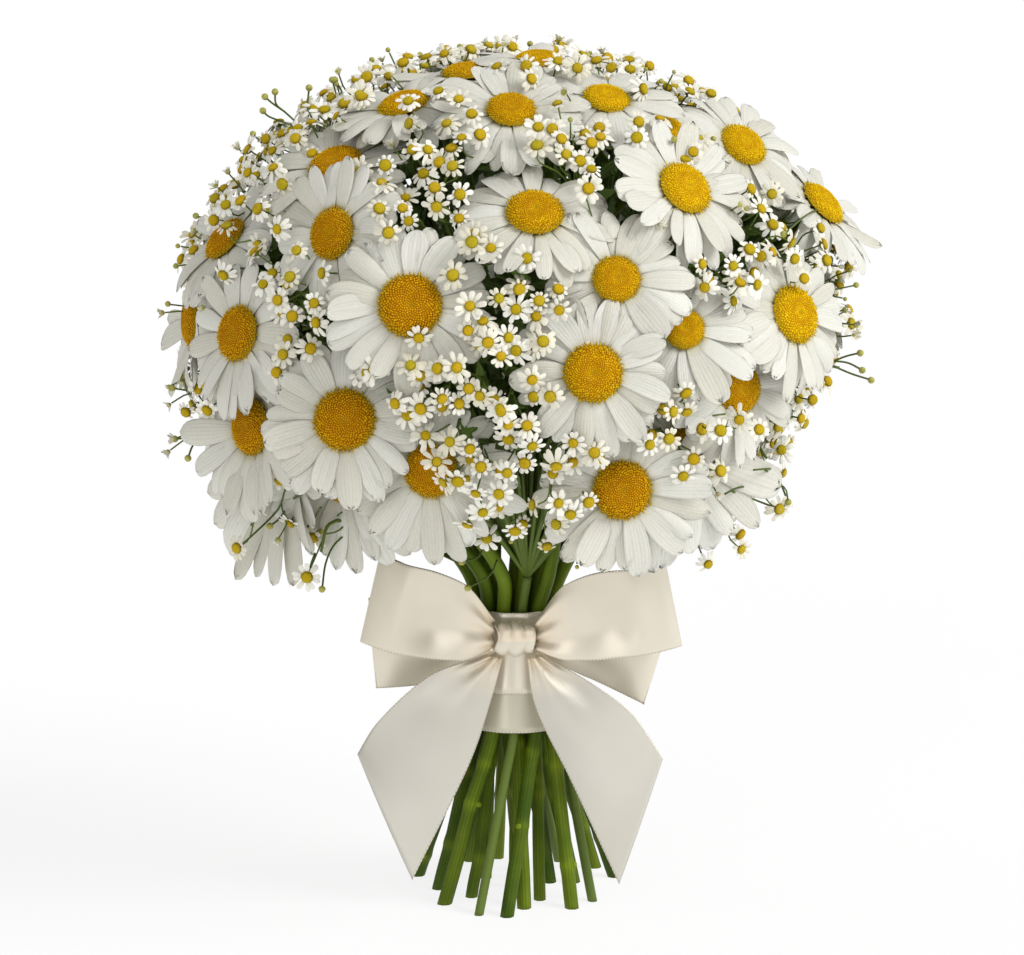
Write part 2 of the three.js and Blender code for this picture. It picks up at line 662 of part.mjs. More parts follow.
function loopSolid(name) {
  const side = name.endsWith("left") ? -1 : 1;
  const stations = LOOPS[name];
  const middles = stations.map(({ out, y, z }) => new THREE.Vector3(side * out, y, z));
  const halves = stations.map(({ half }) => new THREE.Vector3(side * half[0], 0, half[1]));
  const [middle, width] = [middles, halves].map((places) => new THREE.CatmullRomCurve3(places));
  const shares = evenShares(2 * (stations.length - 1));
  return stripSolid(
    shares.map((share) => ({ centre: middle.getPoint(share), half: width.getPoint(share) })),
  );
}

function tailSolid(name) {
  const side = name === "left" ? -1 : 1;
  const [inner, outer] = [TAILS[name].inner, TAILS[name].outer].map(
    (edge) => new THREE.CatmullRomCurve3(edge.map(([out, y, z]) => new THREE.Vector3(side * out, y, z))),
  );
  return stripSolid(
    evenShares(6).map((share) => {
      const [one, other] = [inner.getPoint(share), outer.getPoint(share)];
      const centre = one.clone().add(other).multiplyScalar(0.5);
      return { centre, half: other.clone().sub(one).multiplyScalar(0.5) };
    }),
  );
}

function knotSolid() {
  const knot = new THREE.SphereGeometry(0.5, 8, 6);
  const share = (KNOT.height - WAIST) / (WRAP.high - WAIST);
  const bundle = THREE.MathUtils.lerp(bundleRadius(WAIST), bundleRadius(WRAP.high), share);
  const back = bundle + 2 * WRAP.gap + 2 * SATIN + 0.3;
  knot.scale(KNOT.width, KNOT.deep, KNOT.tall).translate(0, -back - KNOT.deep / 2, KNOT.height);
  return solidOf(knot);
}

// A small chamomile flower, a star of petals with a raised middle, on a pedicel from its hub.
function smallFlower(hub, place, face, grow) {
  const seat = bloomAt(place, face, 1, () => 0);
  const corners = 2 * SMALL_FLOWER.petals;
  const pedicelSides = 3;
  const points = [bloomPoint(seat, 0, 0, SMALL_FLOWER.rise + grow)];
  for (let corner = 0; corner < corners; corner++) {
    const out = (corner % 2 ? SMALL_FLOWER.notch : SMALL_FLOWER.radius) + grow;
    points.push(bloomPoint(seat, (2 * Math.PI * corner) / corners, out, 0));
  }
  const neck = bloomPoint(seat, 0, 0, -SMALL_FLOWER.drop - grow);
  for (const end of [neck, hub]) {
    for (let side = 0; side < pedicelSides; side++) {
      const angle = (2 * Math.PI * side) / pedicelSides;
      const offset = bloomPoint(seat, angle, PEDICEL_RADIUS + grow, 0).sub(place);
      points.push(end.clone().add(offset));
    }
  }
  const triangles = [];
  const first = 1 + corners;
  const share = corners / pedicelSides;
  for (let corner = 0; corner < corners; corner++) {
    const [here, next] = [1 + corner, 1 + ((corner + 1) % corners)];
    triangles.push([0, here, next], [next, here, first + Math.floor(corner / share)]);
  }
  for (let side = 0; side < pedicelSides; side++) {
    const [here, next] = [first + side, first + ((side + 1) % pedicelSides)];
    const corner = 1 + (((side + 1) * share) % corners);
    triangles.push([corner, here, next]);
    triangles.push([next, here, here + pedicelSides], [next, here + pedicelSides, next + pedicelSides]);
  }
  const last = first + pedicelSides;
  triangles.push([last, last + 2, last + 1]);
  return solidOf(geometryFrom(points, triangles));
}

// The point that is as far from each of three places.
function centreOf(first, second, third) {
  const one = second.clone().sub(first);
  const other = third.clone().sub(first);
  const normal = one.clone().cross(other);
  const forOne = normal.clone().cross(one).multiplyScalar(other.lengthSq());
  const forOther = other.clone().cross(normal).multiplyScalar(one.lengthSq());
  return forOne.add(forOther).divideScalar(2 * normal.lengthSq()).add(first);
}

// The gaps between blooms, widest first: the middle of each three that no fourth comes near.
function gapsBetween(blooms) {
  const reachLimit = 95;
  const near = (one, other) => one.place.distanceTo(other.place) < reachLimit;
  const gaps = [];
  blooms.forEach((first, i) => {
    blooms.slice(i + 1).forEach((second, j) => {
      for (const third of blooms.slice(i + j + 2)) {
        if (!near(first, second) || !near(second, third) || !near(third, first)) continue;
        const centre = centreOf(first.place, second.place, third.place);
        const radius = centre.distanceTo(first.place);
        const empty = blooms.every((bloom) => bloom.place.distanceTo(centre) > radius - 0.01);
        if (!empty || centre.z < SEAT_LOWEST - 14) continue;
        const triangle = new THREE.Triangle(first.place, second.place, third.place);
        const out = triangle.getNormal(new THREE.Vector3());
        if (out.dot(domeOutward(centre)) < 0) out.negate();
        gaps.push({ centre, out, radius });
      }
    });
  });
  return gaps.sort((one, other) => other.radius - one.radius);
}

// One chamomile spray: a stalk through the bundle, and in each of the widest gaps on its side a
// branch with a cluster of flowers. Each branch and flower takes the first way that is clear.
function spraySolid(slot, bearing, gaps, obstacles, random) {
  const trunk = slotPlaces(slot).slice(0, -1);
  const top = trunk[trunk.length - 1];
  const pieces = [stalk(trunk, TRUNK_RADIUS, 4)];
  const side = new THREE.Vector3(Math.cos(bearing), Math.sin(bearing), 0);
  const mine = gaps.filter((gap) => gap.centre.clone().setZ(0).normalize().dot(side) > 0.68);
  const shake = (size) => size * (2 * random() - 1);
  const rodClear = (from, to, radius) => !overlaps(stalk([from, to], radius + CLEAR, 4), obstacles);
  let clusters = 0;
  for (const gap of mine) {
    if (clusters === CLUSTERS_PER_SPRAY) break;
    const across = new THREE.Vector3(-gap.out.y, gap.out.x, 0).normalize();
    const upward = new THREE.Vector3().crossVectors(gap.out, across);
    let way = null;
    for (let attempt = 0; attempt < 60 && !way; attempt++) {
      const swing = attempt / 6;
      const hub = gap.centre.clone().addScaledVector(gap.out, -9 + shake(3));
      hub.addScaledVector(across, shake(swing)).addScaledVector(upward, shake(swing));
      const knee = hub.clone().addScaledVector(gap.out, -26 + shake(8));
      knee.add(new THREE.Vector3(shake(2 * swing), shake(2 * swing), -6 + shake(2 * swing)));
      if (rodClear(top, knee, BRANCH_RADIUS) && rodClear(knee, hub, BRANCH_RADIUS)) way = { hub, knee };
    }
    if (!way) continue;
    const flowers = [];
    for (let attempt = 0; attempt < 90 && flowers.length < FLOWERS_PER_CLUSTER; attempt++) {
      const turn = (2 * Math.PI * (flowers.length + 0.3 * shake(1))) / FLOWERS_PER_CLUSTER;
      const lateral = across.clone().multiplyScalar(Math.cos(turn)).addScaledVector(upward, Math.sin(turn));
      const place = gap.centre.clone().addScaledVector(gap.out, 10 + 11 * random());
      place.addScaledVector(lateral, 8 + 5 * random());
      const face = gap.out.clone().addScaledVector(lateral, 0.35 + 0.25 * random()).normalize();
      const crowded = flowers.some((other) => other.distanceTo(place) < 2 * SMALL_FLOWER.radius + 0.5);
      const foot = way.hub.clone().lerp(way.knee, 0.07 + 0.12 * flowers.length);
      if (crowded || overlaps(smallFlower(foot, place, face, CLEAR), obstacles)) continue;
      flowers.push(place);
      pieces.push(smallFlower(foot, place, face, 0));
    }
    if (!flowers.length) continue;
    clusters += 1;
    pieces.push(stalk([top, way.knee, way.hub], BRANCH_RADIUS, 3));
  }
  return wasm.Manifold.union(pieces);
}

// A lobed leaf, flat and thin, from its root to its tip.
function leafSolid(root, tip, faceUp, grow) {
  const outline = [
    [0, -0.2], [0.3, -0.9], [0.42, -0.45], [0.62, -1], [0.74, -0.4], [1, 0],
    [0.74, 0.4], [0.62, 1], [0.42, 0.45], [0.3, 0.9], [0, 0.2],
  ];
  const along = tip.clone().sub(root);
  const length = along.length() + grow;
  const shape = new THREE.Shape();
  outline.forEach(([share, aside], index) => {
    shape[index ? "lineTo" : "moveTo"](share * length, aside * (LEAF.width + grow));
  });
  along.normalize();
  const aside = new THREE.Vector3().crossVectors(faceUp, along).normalize();
  const up = new THREE.Vector3().crossVectors(along, aside);
  const thickness = LEAF.thickness + 2 * grow;
  const leaf = new THREE.ExtrudeGeometry(shape, { depth: thickness, bevelEnabled: false });
  leaf.translate(0, 0, -thickness / 2);
  leaf.applyMatrix4(new THREE.Matrix4().makeBasis(along, aside, up).setPosition(root));
  return solidOf(leaf);
}

// Leaves grow from the main stems towards the gaps, where they are clear of the rest.
function leafSolids(mains, gaps, obstacles) {
  const roots = mains.flatMap(({ centres }) => centres.slice(-4, -1));
  const leaves = [];
  for (const gap of [...gaps].reverse()) {
    if (leaves.length === LEAF.count) break;
    const aim = gap.centre.clone().addScaledVector(gap.out, -8);
    const miss = (root) => Math.abs(root.distanceTo(aim) - LEAF.length);
    const root = roots.reduce((one, other) => (miss(other) < miss(one) ? other : one));
    const tip = root.clone().add(aim.sub(root).setLength(LEAF.length));
    if (overlaps(leafSolid(root, tip, gap.out, CLEAR), obstacles)) continue;
    leaves.push(leafSolid(root, tip, gap.out, 0));
  }
  return leaves;
}

// Stems: the chamomile takes one outer slot on each side, the daisies take the others.
const blooms = placeBlooms();
const slots = bundleSlots();
const outerSlots = slots.filter((slot) => slot.ring === 2);
const sprayWays = Object.entries(SPRAYS).map(([name, bearing]) => {
  const angle = THREE.MathUtils.degToRad(bearing);
  const off = (slot) => Math.cos(slot.angle - angle);
  return { name, angle, slot: outerSlots.reduce((one, other) => (off(other) > off(one) ? other : one)) };
});
const daisySlots = slots.filter((slot) => !sprayWays.some((way) => way.slot === slot));
const mains = mainStems(blooms, daisySlots);
const forks = forkStems(blooms, mains);
const stemMarks = [...mains, ...forks].flatMap(({ centres }) => {
  return new THREE.CatmullRomCurve3(centres).getSpacedPoints(40);
});
const floor = solidOf(new THREE.BoxGeometry(300, 300, 20).translate(0, 0, -10));
const trunkHoles = sprayWays.map(({ slot }) => {
  return stalk(slotPlaces(slot).slice(0, -1), TRUNK_RADIUS + CLEAR, 6);
});
const stems = wasm.Manifold.union([
  ...mains.map((main) => stemSolid(main, STEM_RADIUS)),
  ...forks.map((fork) => stemSolid(fork, FORK_RADIUS)),
  tapeSolid(),
]).subtract(wasm.Manifold.union([floor, ...trunkHoles]));

// Petal rings share a node by the side of the dome that they are on, and one for the crown.
const SIDES = ["front", "right", "back_right", "back_left", "left"];
const petalGroups = { crown: [] };
SIDES.forEach((name) => (petalGroups[name] = []));
for (const bloom of blooms) {
  const turn = Math.atan2(bloom.place.x, -bloom.place.y) / (2 * Math.PI) + 1;
  const name = SIDES[Math.round(turn * SIDES.length) % SIDES.length];
  petalGroups[bloom.place.z > CROWN_HEIGHT ? "crown" : name].push(bloom);
}
const petals = Object.entries(petalGroups).map(([name, group]) => {
  linkBlooms(group);
  const rings = group.map((bloom) => {
    const others = blooms.filter((other) => other !== bloom);
    return petalRing(bloom, others, stemMarks);
  });
  return { name: `petals_${name}`, solid: wasm.Manifold.union(rings) };
});
const discs = blooms.map((bloom, index) => {
  return { name: `daisy_disc_${String(index + 1).padStart(2, "0")}`, solid: discSolid(bloom) };
});

// The ribbon.
const ribbon = [
  { name: "ribbon_wrap", solid: wrapSolid() },
  { name: "bow_knot", solid: knotSolid() },
  { name: "bow_loops_left", solid: loopSolid("upper_left").add(loopSolid("lower_left")) },
  { name: "bow_loops_right", solid: loopSolid("upper_right").add(loopSolid("lower_right")) },
  { name: "bow_tail_left", solid: tailSolid("left") },
  { name: "bow_tail_right", solid: tailSolid("right") },
];

// Chamomile and leaves go where the rest leaves room.
const random = seededRandom(SEEDS.sprays);
const gaps = gapsBetween(blooms);
const obstacles = [stems, ...petals.map(({ solid }) => solid), ...discs.map(({ solid }) => solid)];
obstacles.push(...ribbon.map(({ solid }) => solid));
const sprays = sprayWays.map(({ name, angle, slot }) => {
  const solid = spraySolid(slot, angle, gaps, obstacles, random).subtract(floor);
  obstacles.push(solid);
  return { name: `chamomile_${name}`, solid };
});
const leaves = leafSolids(mains, gaps, obstacles.slice(1));

// The bunch, with its box centred over the origin and its stems' ends on the ground.
const bunch = new THREE.Group();

function addNodes(nodes, finish) {
  for (const { name, solid } of nodes) {
    const mesh = solid.getMesh();
    const geometry = new THREE.BufferGeometry();
    geometry.setAttribute("position", new THREE.BufferAttribute(mesh.vertProperties, 3));
    geometry.setIndex(new THREE.BufferAttribute(mesh.triVerts, 1));
    const node = new THREE.Mesh(geometry, new THREE.MeshStandardMaterial(finish));
    node.name = name;
    bunch.add(node);
  }
}

addNodes([{ name: "daisy_stems", solid: wasm.Manifold.union([stems, ...leaves]) }], FINISHES.green);
addNodes(petals, FINISHES.petal);
addNodes(discs, FINISHES.disc);
addNodes(sprays, FINISHES.chamomile);
addNodes(ribbon, FINISHES.satin);
const middle = new THREE.Box3().setFromObject(bunch).getCenter(new THREE.Vector3());
bunch.position.set(-middle.x, -middle.y, 0);

export default bunch;
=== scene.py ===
# %% [markdown]
# # A hand-tied bunch of daisies
# Big white daisies make a dome, small chamomile fills the gaps, and a satin ribbon holds the
# waist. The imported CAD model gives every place: where each daisy sits and faces, where the
# stems pass the tie, and where the ribbon runs. Each plain solid is replaced here by a finer
# piece in the same place. Lengths are in millimetres until Blender takes them, in metres.

import bpy
import numpy as np
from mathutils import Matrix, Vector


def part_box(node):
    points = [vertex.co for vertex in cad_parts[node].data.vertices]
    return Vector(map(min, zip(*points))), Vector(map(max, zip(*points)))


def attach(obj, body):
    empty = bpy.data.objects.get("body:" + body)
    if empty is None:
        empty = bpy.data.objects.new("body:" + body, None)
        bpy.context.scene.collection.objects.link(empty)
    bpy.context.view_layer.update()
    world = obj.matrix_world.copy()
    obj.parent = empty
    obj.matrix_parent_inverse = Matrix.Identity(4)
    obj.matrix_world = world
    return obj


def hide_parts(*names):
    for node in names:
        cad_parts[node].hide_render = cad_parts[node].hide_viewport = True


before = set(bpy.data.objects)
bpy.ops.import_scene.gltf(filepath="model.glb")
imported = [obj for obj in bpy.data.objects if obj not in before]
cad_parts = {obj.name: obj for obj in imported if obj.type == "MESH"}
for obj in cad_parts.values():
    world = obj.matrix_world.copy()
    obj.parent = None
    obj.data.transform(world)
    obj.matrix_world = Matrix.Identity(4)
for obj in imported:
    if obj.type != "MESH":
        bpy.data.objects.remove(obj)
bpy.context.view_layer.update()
METRES = 0.001


def box_of(node):
    """A CAD node's lowest and highest corner, in millimetres."""
    return [np.array(corner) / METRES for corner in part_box(node)]


wrap_low, wrap_high = box_of("ribbon_wrap")
AXIS = np.append((wrap_low + wrap_high)[:2] / 2, 0)

# %% [markdown]
# ## Small tools for arrays of vectors
# A petal, a stalk and a leaf are all a closed skin over rings of points. So a few helpers work
# on whole arrays whose last axis is x, y, z: lengths, crossings, smooth paths and rings. A
# thousand petals are then made almost as fast as one.

# %% Vector helpers
UP = np.array([0.0, 0.0, 1.0])


def unit(vectors):
    """Each vector divided by its own length."""
    return vectors / np.maximum(np.linalg.norm(vectors, axis=-1, keepdims=True), 1e-9)


def dot(one, other):
    """The sum of the products of the coordinates, kept as a last axis of one."""
    return np.sum(one * other, axis=-1, keepdims=True)


def square_to(face, level=UP):
    """Two directions square to a face and to each other; the first is square to level too."""
    first = unit(np.cross(level, face))
    return first, np.cross(face, first)


def round_turn(count):
    """Angles at even steps round one turn."""
    return 2 * np.pi * np.arange(count) / count


def sweep(first, second, angle):
    """cos(angle) * first + sin(angle) * second, for each angle."""
    angle = np.asarray(angle)[..., None]
    return np.cos(angle) * first + np.sin(angle) * second


def smooth_path(knots, steps):
    """A smooth curve through knots (pieces, knots, 3), at steps even shares of its knots: a
    cubic between one knot and the next. Its way through a knot is the step from the knot before
    and the step to the knot after, each over the root of its length, less the step between
    those two over the sum of the roots. Short steps next to long ones then make no loops."""
    ends = [2 * knots[:, :1] - knots[:, 1:2], knots, 2 * knots[:, -1:] - knots[:, -2:-1]]
    padded = np.concatenate(ends, axis=1)
    hops = np.diff(padded, axis=1)
    root = np.sqrt(np.maximum(np.linalg.norm(hops, axis=-1, keepdims=True), 1e-4))
    across = (padded[:, 2:] - padded[:, :-2]) / (root[:, :-1] + root[:, 1:])
    through = (hops / root)[:, :-1] + (hops / root)[:, 1:] - across
    place = np.linspace(0, knots.shape[1] - 1, steps)
    first = np.minimum(place.astype(int), knots.shape[1] - 2)
    t = (place - first)[None, :, None]
    a, b, span = knots[:, first], knots[:, first + 1], root[:, first + 1]
    p, q = through[:, first] * span, through[:, first + 1] * span
    return a + t * (p + t * (3 * (b - a) - 2 * p - q + t * (2 * (a - b) + p + q)))


def smoothstep(share):
    """0 below 0, 1 above 1, and 3t^2 - 2t^3 between."""
    t = np.clip(share, 0, 1)
    return t * t * (3 - 2 * t)


def bell(place, middle, width):
    """exp(-((place - middle) / width)^2)."""
    return np.exp(-(((place - middle) / width) ** 2))


# %% Rings along a path
def rings_along(paths, radii, sides):
    """Round rings across paths (pieces, stations, 3). With w the way along the path and a the
    part of a fixed direction that is square to w, ring point k is the station's place plus
    radius * (a cos + w x a sin) of the angle 2 pi k / sides."""
    way = unit(np.gradient(paths, axis=1))
    least = np.argmin(np.abs(way.mean(axis=1)), axis=-1)
    fixed = np.eye(3)[least][:, None, :]
    aside = unit(fixed - dot(fixed, way) * way)
    across = np.cross(way, aside)
    circle = sweep(aside[:, :, None], across[:, :, None], round_turn(sides))
    return paths[:, :, None] + np.broadcast_to(radii, paths.shape[:2])[:, :, None, None] * circle


# %% [markdown]
# ## From rings to a mesh
# A skin of quads joins each ring to the next, and a fan closes each end, so that every petal
# and stalk is a closed shell with its faces pointing outwards. The rings also carry a place on
# the surface (a UV map) and a tone, one number that sets each flower a little apart.

# %% Closed skins
class Skin:
    """Closed skins gathered for one mesh: points, faces of four and three corners, UV and tone."""

    def __init__(self):
        self.points, self.quads, self.fans, self.uv, self.tone = [], [], [], [], []
        self.count = 0

    def add(self, rings, u=0.5, v=0.5, tone=0.5):
        """Rings (pieces, stations, around, 3) become quads (s, k), (s, k+1), (s+1, k+1),
        (s+1, k), and fans from corner 0 close the first and the last ring."""
        pieces, stations, around = rings.shape[:3]
        index = self.count + np.arange(pieces * stations * around).reshape(pieces, stations, around)
        turned = np.roll(index, -1, axis=2)
        quads = [index[:, :-1], turned[:, :-1], turned[:, 1:], index[:, 1:]]
        self.quads.append(np.stack(quads, axis=-1).reshape(-1, 4))
        for ring, step in ((index[:, 0], -1), (index[:, -1], 1)):
            one, other = ring[:, 1:-1], ring[:, 2:]
            corners = [np.repeat(ring[:, :1], around - 2, axis=1), one, other][::step]
            self.fans.append(np.stack(corners, axis=-1).reshape(-1, 3))
        shape = rings.shape[:3]
        self.points.append(rings.reshape(-1, 3))
        self.uv.append(np.stack([np.broadcast_to(x, shape).reshape(-1) for x in (u, v)], axis=-1))
        self.tone.append(np.broadcast_to(tone, shape).reshape(-1))
        self.count += index.size

    def mesh(self, name, smooth=True):
        """A Blender mesh of everything gathered, in metres, with soft or crisp faces."""
        points = np.concatenate(self.points)
        quads, fans = np.concatenate(self.quads), np.concatenate(self.fans)
        corners = np.concatenate([quads.reshape(-1), fans.reshape(-1)])
        starts = np.concatenate([4 * np.arange(len(quads)), 4 * len(quads) + 3 * np.arange(len(fans))])
        mesh = bpy.data.meshes.new(name)
        mesh.vertices.add(len(points))
        mesh.vertices.foreach_set("co", (points * METRES).reshape(-1))
        mesh.loops.add(len(corners))
        mesh.loops.foreach_set("vertex_index", corners)
        mesh.polygons.add(len(starts))
        mesh.polygons.foreach_set("loop_start", starts)
        mesh.polygons.foreach_set("use_smooth", np.full(len(starts), smooth))
        layer = mesh.uv_layers.new(name="surface")
        layer.uv.foreach_set("vector", np.concatenate(self.uv)[corners].reshape(-1))
        tones = mesh.attributes.new("tone", "FLOAT", "POINT")
        tones.data.foreach_set("value", np.concatenate(self.tone))
        mesh.update(calc_edges=True)
        mesh.validate()
        return mesh


# %% Putting a piece in its place
def place_object(name, data):
    """A new object of this data, at the origin of the scene."""
    piece = bpy.data.objects.new(name, data)
    bpy.context.scene.collection.objects.link(piece)
    return piece


def put(name, mesh, paint, nodes):
    """A piece at the origin with its paint, standing for its CAD nodes."""
    piece = place_object(name, mesh)
    mesh.materials.append(paint.material)
    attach(piece, "root")
    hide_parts(*nodes)
    print(name, len(mesh.vertices), "points", len(mesh.polygons), "faces")
    return piece


# %% [markdown]
# ## Shader maths as plain sums
# A finish is a formula over the surface: how far along a petal, how near its edge, how rough
# here. Each number in it is a signal, and a sum or product of signals adds the Math node that
# works it out. Colours never go through a Math node, which would turn them grey.

# %% Signals and paint
class Signal:
    """A number or colour that varies over a surface: the output of a shader node."""

    def __init__(self, paint, socket):
        self.paint, self.socket = paint, socket

    def math(self, operation, *values):
        """A Math node of these numbers or signals."""
        return self.paint.node("ShaderNodeMath", {"operation": operation}, dict(enumerate(values)))

    def __add__(self, other):
        return self.math("ADD", self, other)

    def __mul__(self, other):
        return self.math("MULTIPLY", self, other)

    def __sub__(self, other):
        return self.math("SUBTRACT", self, other)

    def __rsub__(self, other):
        return self.math("SUBTRACT", other, self)

    def __pow__(self, other):
        return self.math("POWER", self, other)

    def sine(self):
        """The sine of the signal in radians."""
        return self.math("SINE", self)

    def size(self):
        """The signal without its sign."""
        return self.math("ABSOLUTE", self)

    def held(self):
        """The signal kept between 0 and 1."""
        return self.math("MINIMUM", self.math("MAXIMUM", self, 0), 1)


class Paint:
    """A material with one Principled surface, and one method that makes any other node."""

    def __init__(self, name, **constants):
        self.material = bpy.data.materials.new(name)
        self.material.use_nodes = True
        self.tree = self.material.node_tree
        self.surface = self.tree.nodes["Principled BSDF"]
        for socket, value in constants.items():
            self.surface.inputs[socket.replace("_", " ")].default_value = value

    def node(self, kind, settings=None, values=None, out=0):
        """A node of that kind: its settings first, then a number or a link for each input."""
        node = self.tree.nodes.new(kind)
        for key, value in (settings or {}).items():
            setattr(node, key, value)
        for key, value in (values or {}).items():
            if isinstance(value, Signal):
                self.tree.links.new(value.socket, node.inputs[key])
            else:
                node.inputs[key].default_value = value
        return Signal(self, node.outputs[out])

    def across_and_along(self):
        """The two coordinates of the piece's own UV map."""
        uv = self.node("ShaderNodeUVMap", {"uv_map": "surface"})
        return [self.node("ShaderNodeSeparateXYZ", values={0: uv}, out=axis) for axis in (0, 1)]

    def tone(self):
        """The tone that the piece's points carry."""
        return self.node("ShaderNodeAttribute", {"attribute_name": "tone"}, out=2)

    def noise(self, scale, detail=2.0):
        """Soft noise over the object, with about scale waves in a metre."""
        where = self.node("ShaderNodeTexCoord", out=3)
        values = {"Vector": where, "Scale": scale, "Detail": detail}
        return self.node("ShaderNodeTexNoise", values=values)

    def mix(self, share, one, other):
        """The colour one where share is 0, the other where it is 1."""
        values = {0: share, 6: one, 7: other}
        return self.node("ShaderNodeMix", {"data_type": "RGBA"}, values, out=2)

    def feed(self, socket, signal):
        """A link from a signal to one of the surface's own sockets."""
        self.tree.links.new(signal.socket, self.surface.inputs[socket])

    def cover(self, base, height, depth):
        """The base colour, and relief from a height signal, depth millimetres for a step of 1."""
        self.feed("Base Color", base)
        values = {"Strength": 1.0, "Distance": depth * METRES, "Height": height}
        self.feed("Normal", self.node("ShaderNodeBump", values=values))


def colour(red, green, blue):
    """A screen colour of 0 to 255 as the linear colour that a node takes."""
    share = np.array([red, green, blue]) / 255
    linear = np.where(share < 0.04045, share / 12.92, ((share + 0.055) / 1.055) ** 2.4)
    return (*linear.tolist(), 1.0)


# %% [markdown]
# ## The camera
# The photograph is taken from a little above, with a long lens, which keeps the dome's far
# daisies almost as large as the near ones. The same view is needed before the flowers: small
# clusters are set where the photograph shows them, along the line of sight through a pixel.

# %% The camera's place
PICTURE = np.array([1024, 955])
SIGHT_BEFORE, SIGHT_PAST = 160, 60
CAMERA_RISE = np.radians(12)
CAMERA_DISTANCE = 2000
MM_PER_PIXEL = 0.4
AXIS_PIXEL = 515
TARGET_HEIGHT = 170
SENSOR = 36
SIGHT_END = 50000

to_camera = np.array([0, -np.cos(CAMERA_RISE), np.sin(CAMERA_RISE)])
camera_right = np.array([1.0, 0, 0])
camera_up = np.array([0, np.sin(CAMERA_RISE), np.cos(CAMERA_RISE)])
focal_pixels = CAMERA_DISTANCE / MM_PER_PIXEL
target = AXIS + [(PICTURE[0] / 2 - AXIS_PIXEL) * MM_PER_PIXEL, 0, TARGET_HEIGHT]
camera_place = target + to_camera * CAMERA_DISTANCE

lens = bpy.data.cameras.new("camera")
lens.sensor_width = SENSOR
lens.lens = SENSOR * focal_pixels / PICTURE[0]
lens.clip_end = SIGHT_END * METRES
camera = place_object("camera", lens)
camera.location = camera_place * METRES
camera.rotation_euler = (np.pi / 2 - CAMERA_RISE, 0, 0)
bpy.context.scene.camera = camera
print("lens", round(lens.lens, 1), "mm, camera at", camera_place.round(1))

# %% [markdown]
# ## The dome
# The discs of the big daisies lie on a dome that is round above its middle and boxier below.
# Its level, which is 0 on the dome and negative inside, tells where "out" is, which of two
# daisies lies on top, and where a sight line from the camera first meets the flowers.

# %% The dome's level
DOME = {"radius": 127, "middle": 240, "up": 101, "down": 88, "round_up": 2, "round_down": 2.6}
DOME_MIDDLE = AXIS + [0, 0, DOME["middle"]]


def dome_level(points):
    """(out^n + along^n)^(1/n) - 1, with out and along as shares of the dome's radius and
    half height, and n the roundness of the upper or lower half."""
    off = points - DOME_MIDDLE
    upper = off[..., 2] > 0
    power = np.where(upper, DOME["round_up"], DOME["round_down"])
    out = np.hypot(off[..., 0], off[..., 1]) / DOME["radius"]
    along = np.abs(off[..., 2]) / np.where(upper, DOME["up"], DOME["down"])
    return (out**power + along**power) ** (1 / power) - 1


def dome_outward(points):
    """The way in which the level rises most: its differences over 1 mm along x, y and z."""
    steps = 0.5 * np.eye(3)
    rises = [dome_level(points + step) - dome_level(points - step) for step in steps]
    return unit(np.stack(rises, axis=-1))


def to_dome(points, proud=0.0):
    """Each point moved along its line from the dome's middle onto the dome, then out by proud."""
    points = np.array(points, dtype=float)
    for _ in range(8):
        points = DOME_MIDDLE + (points - DOME_MIDDLE) / (1 + dome_level(points))[..., None]
    return points + dome_outward(points) * proud


def seen_on_dome(pixels):
    """Where the sight lines through pixels (count, 2) first meet the dome, or pass nearest."""
    off = (pixels - PICTURE / 2) / focal_pixels
    ways = -to_camera + off[:, :1] * camera_right - off[:, 1:] * camera_up
    reach = np.arange(CAMERA_DISTANCE - SIGHT_BEFORE, CAMERA_DISTANCE + SIGHT_PAST, 1.0)
    points = camera_place + ways[:, None] * reach[:, None]
    level = dome_level(points)
    inside = level <= 0
    first = np.where(inside.any(axis=1), inside.argmax(axis=1), level.argmin(axis=1))
    return points[np.arange(len(pixels)), first]


# %% [markdown]
# ## Where the daisies sit
# Each disc solid has a flat back. The back's place is the bloom's heart, its normal says where
# the bloom faces, and its rim gives the disc's radius. That is read from the frame, so that a
# finer daisy lands exactly on its plain solid.

# %% Reading the blooms
DISC_GAP = 0.9
DISC_BACK_SHARE = 0.96


class Bloom:
    """One daisy's heart, its own three directions and its disc's radius."""

    def __init__(self, place, face, disc):
        self.place, self.face, self.disc = place, face, disc
        self.across, self.upward = square_to(face)

    def out(self, angle):
        """The way out from the heart at an angle round the face."""
        return sweep(self.across, self.upward, angle)


def read_bloom(node):
    """The back is the widest set of faces that share one normal."""
    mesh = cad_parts[node].data
    count = len(mesh.polygons)
    normals, middles, areas = np.empty(3 * count), np.empty(3 * count), np.empty(count)
    mesh.polygons.foreach_get("normal", normals)
    mesh.polygons.foreach_get("center", middles)
    mesh.polygons.foreach_get("area", areas)
    normals, middles = normals.reshape(-1, 3), middles.reshape(-1, 3) / METRES
    alike = normals @ normals.T > 0.9995
    back = alike[np.argmax(alike @ areas)]
    face = unit(-(normals[back] * areas[back, None]).sum(axis=0))
    heart = (middles[back] * areas[back, None]).sum(axis=0) / areas[back].sum()
    points = node_points(node) - heart
    rim = np.linalg.norm(points[np.abs(points @ face) < 0.1], axis=-1).max()
    return Bloom(heart - DISC_GAP * face, face, rim / DISC_BACK_SHARE)


def node_points(node):
    """A CAD node's vertices, in millimetres."""
    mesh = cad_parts[node].data
    points = np.empty(3 * len(mesh.vertices))
    mesh.vertices.foreach_get("co", points)
    return points.reshape(-1, 3) / METRES


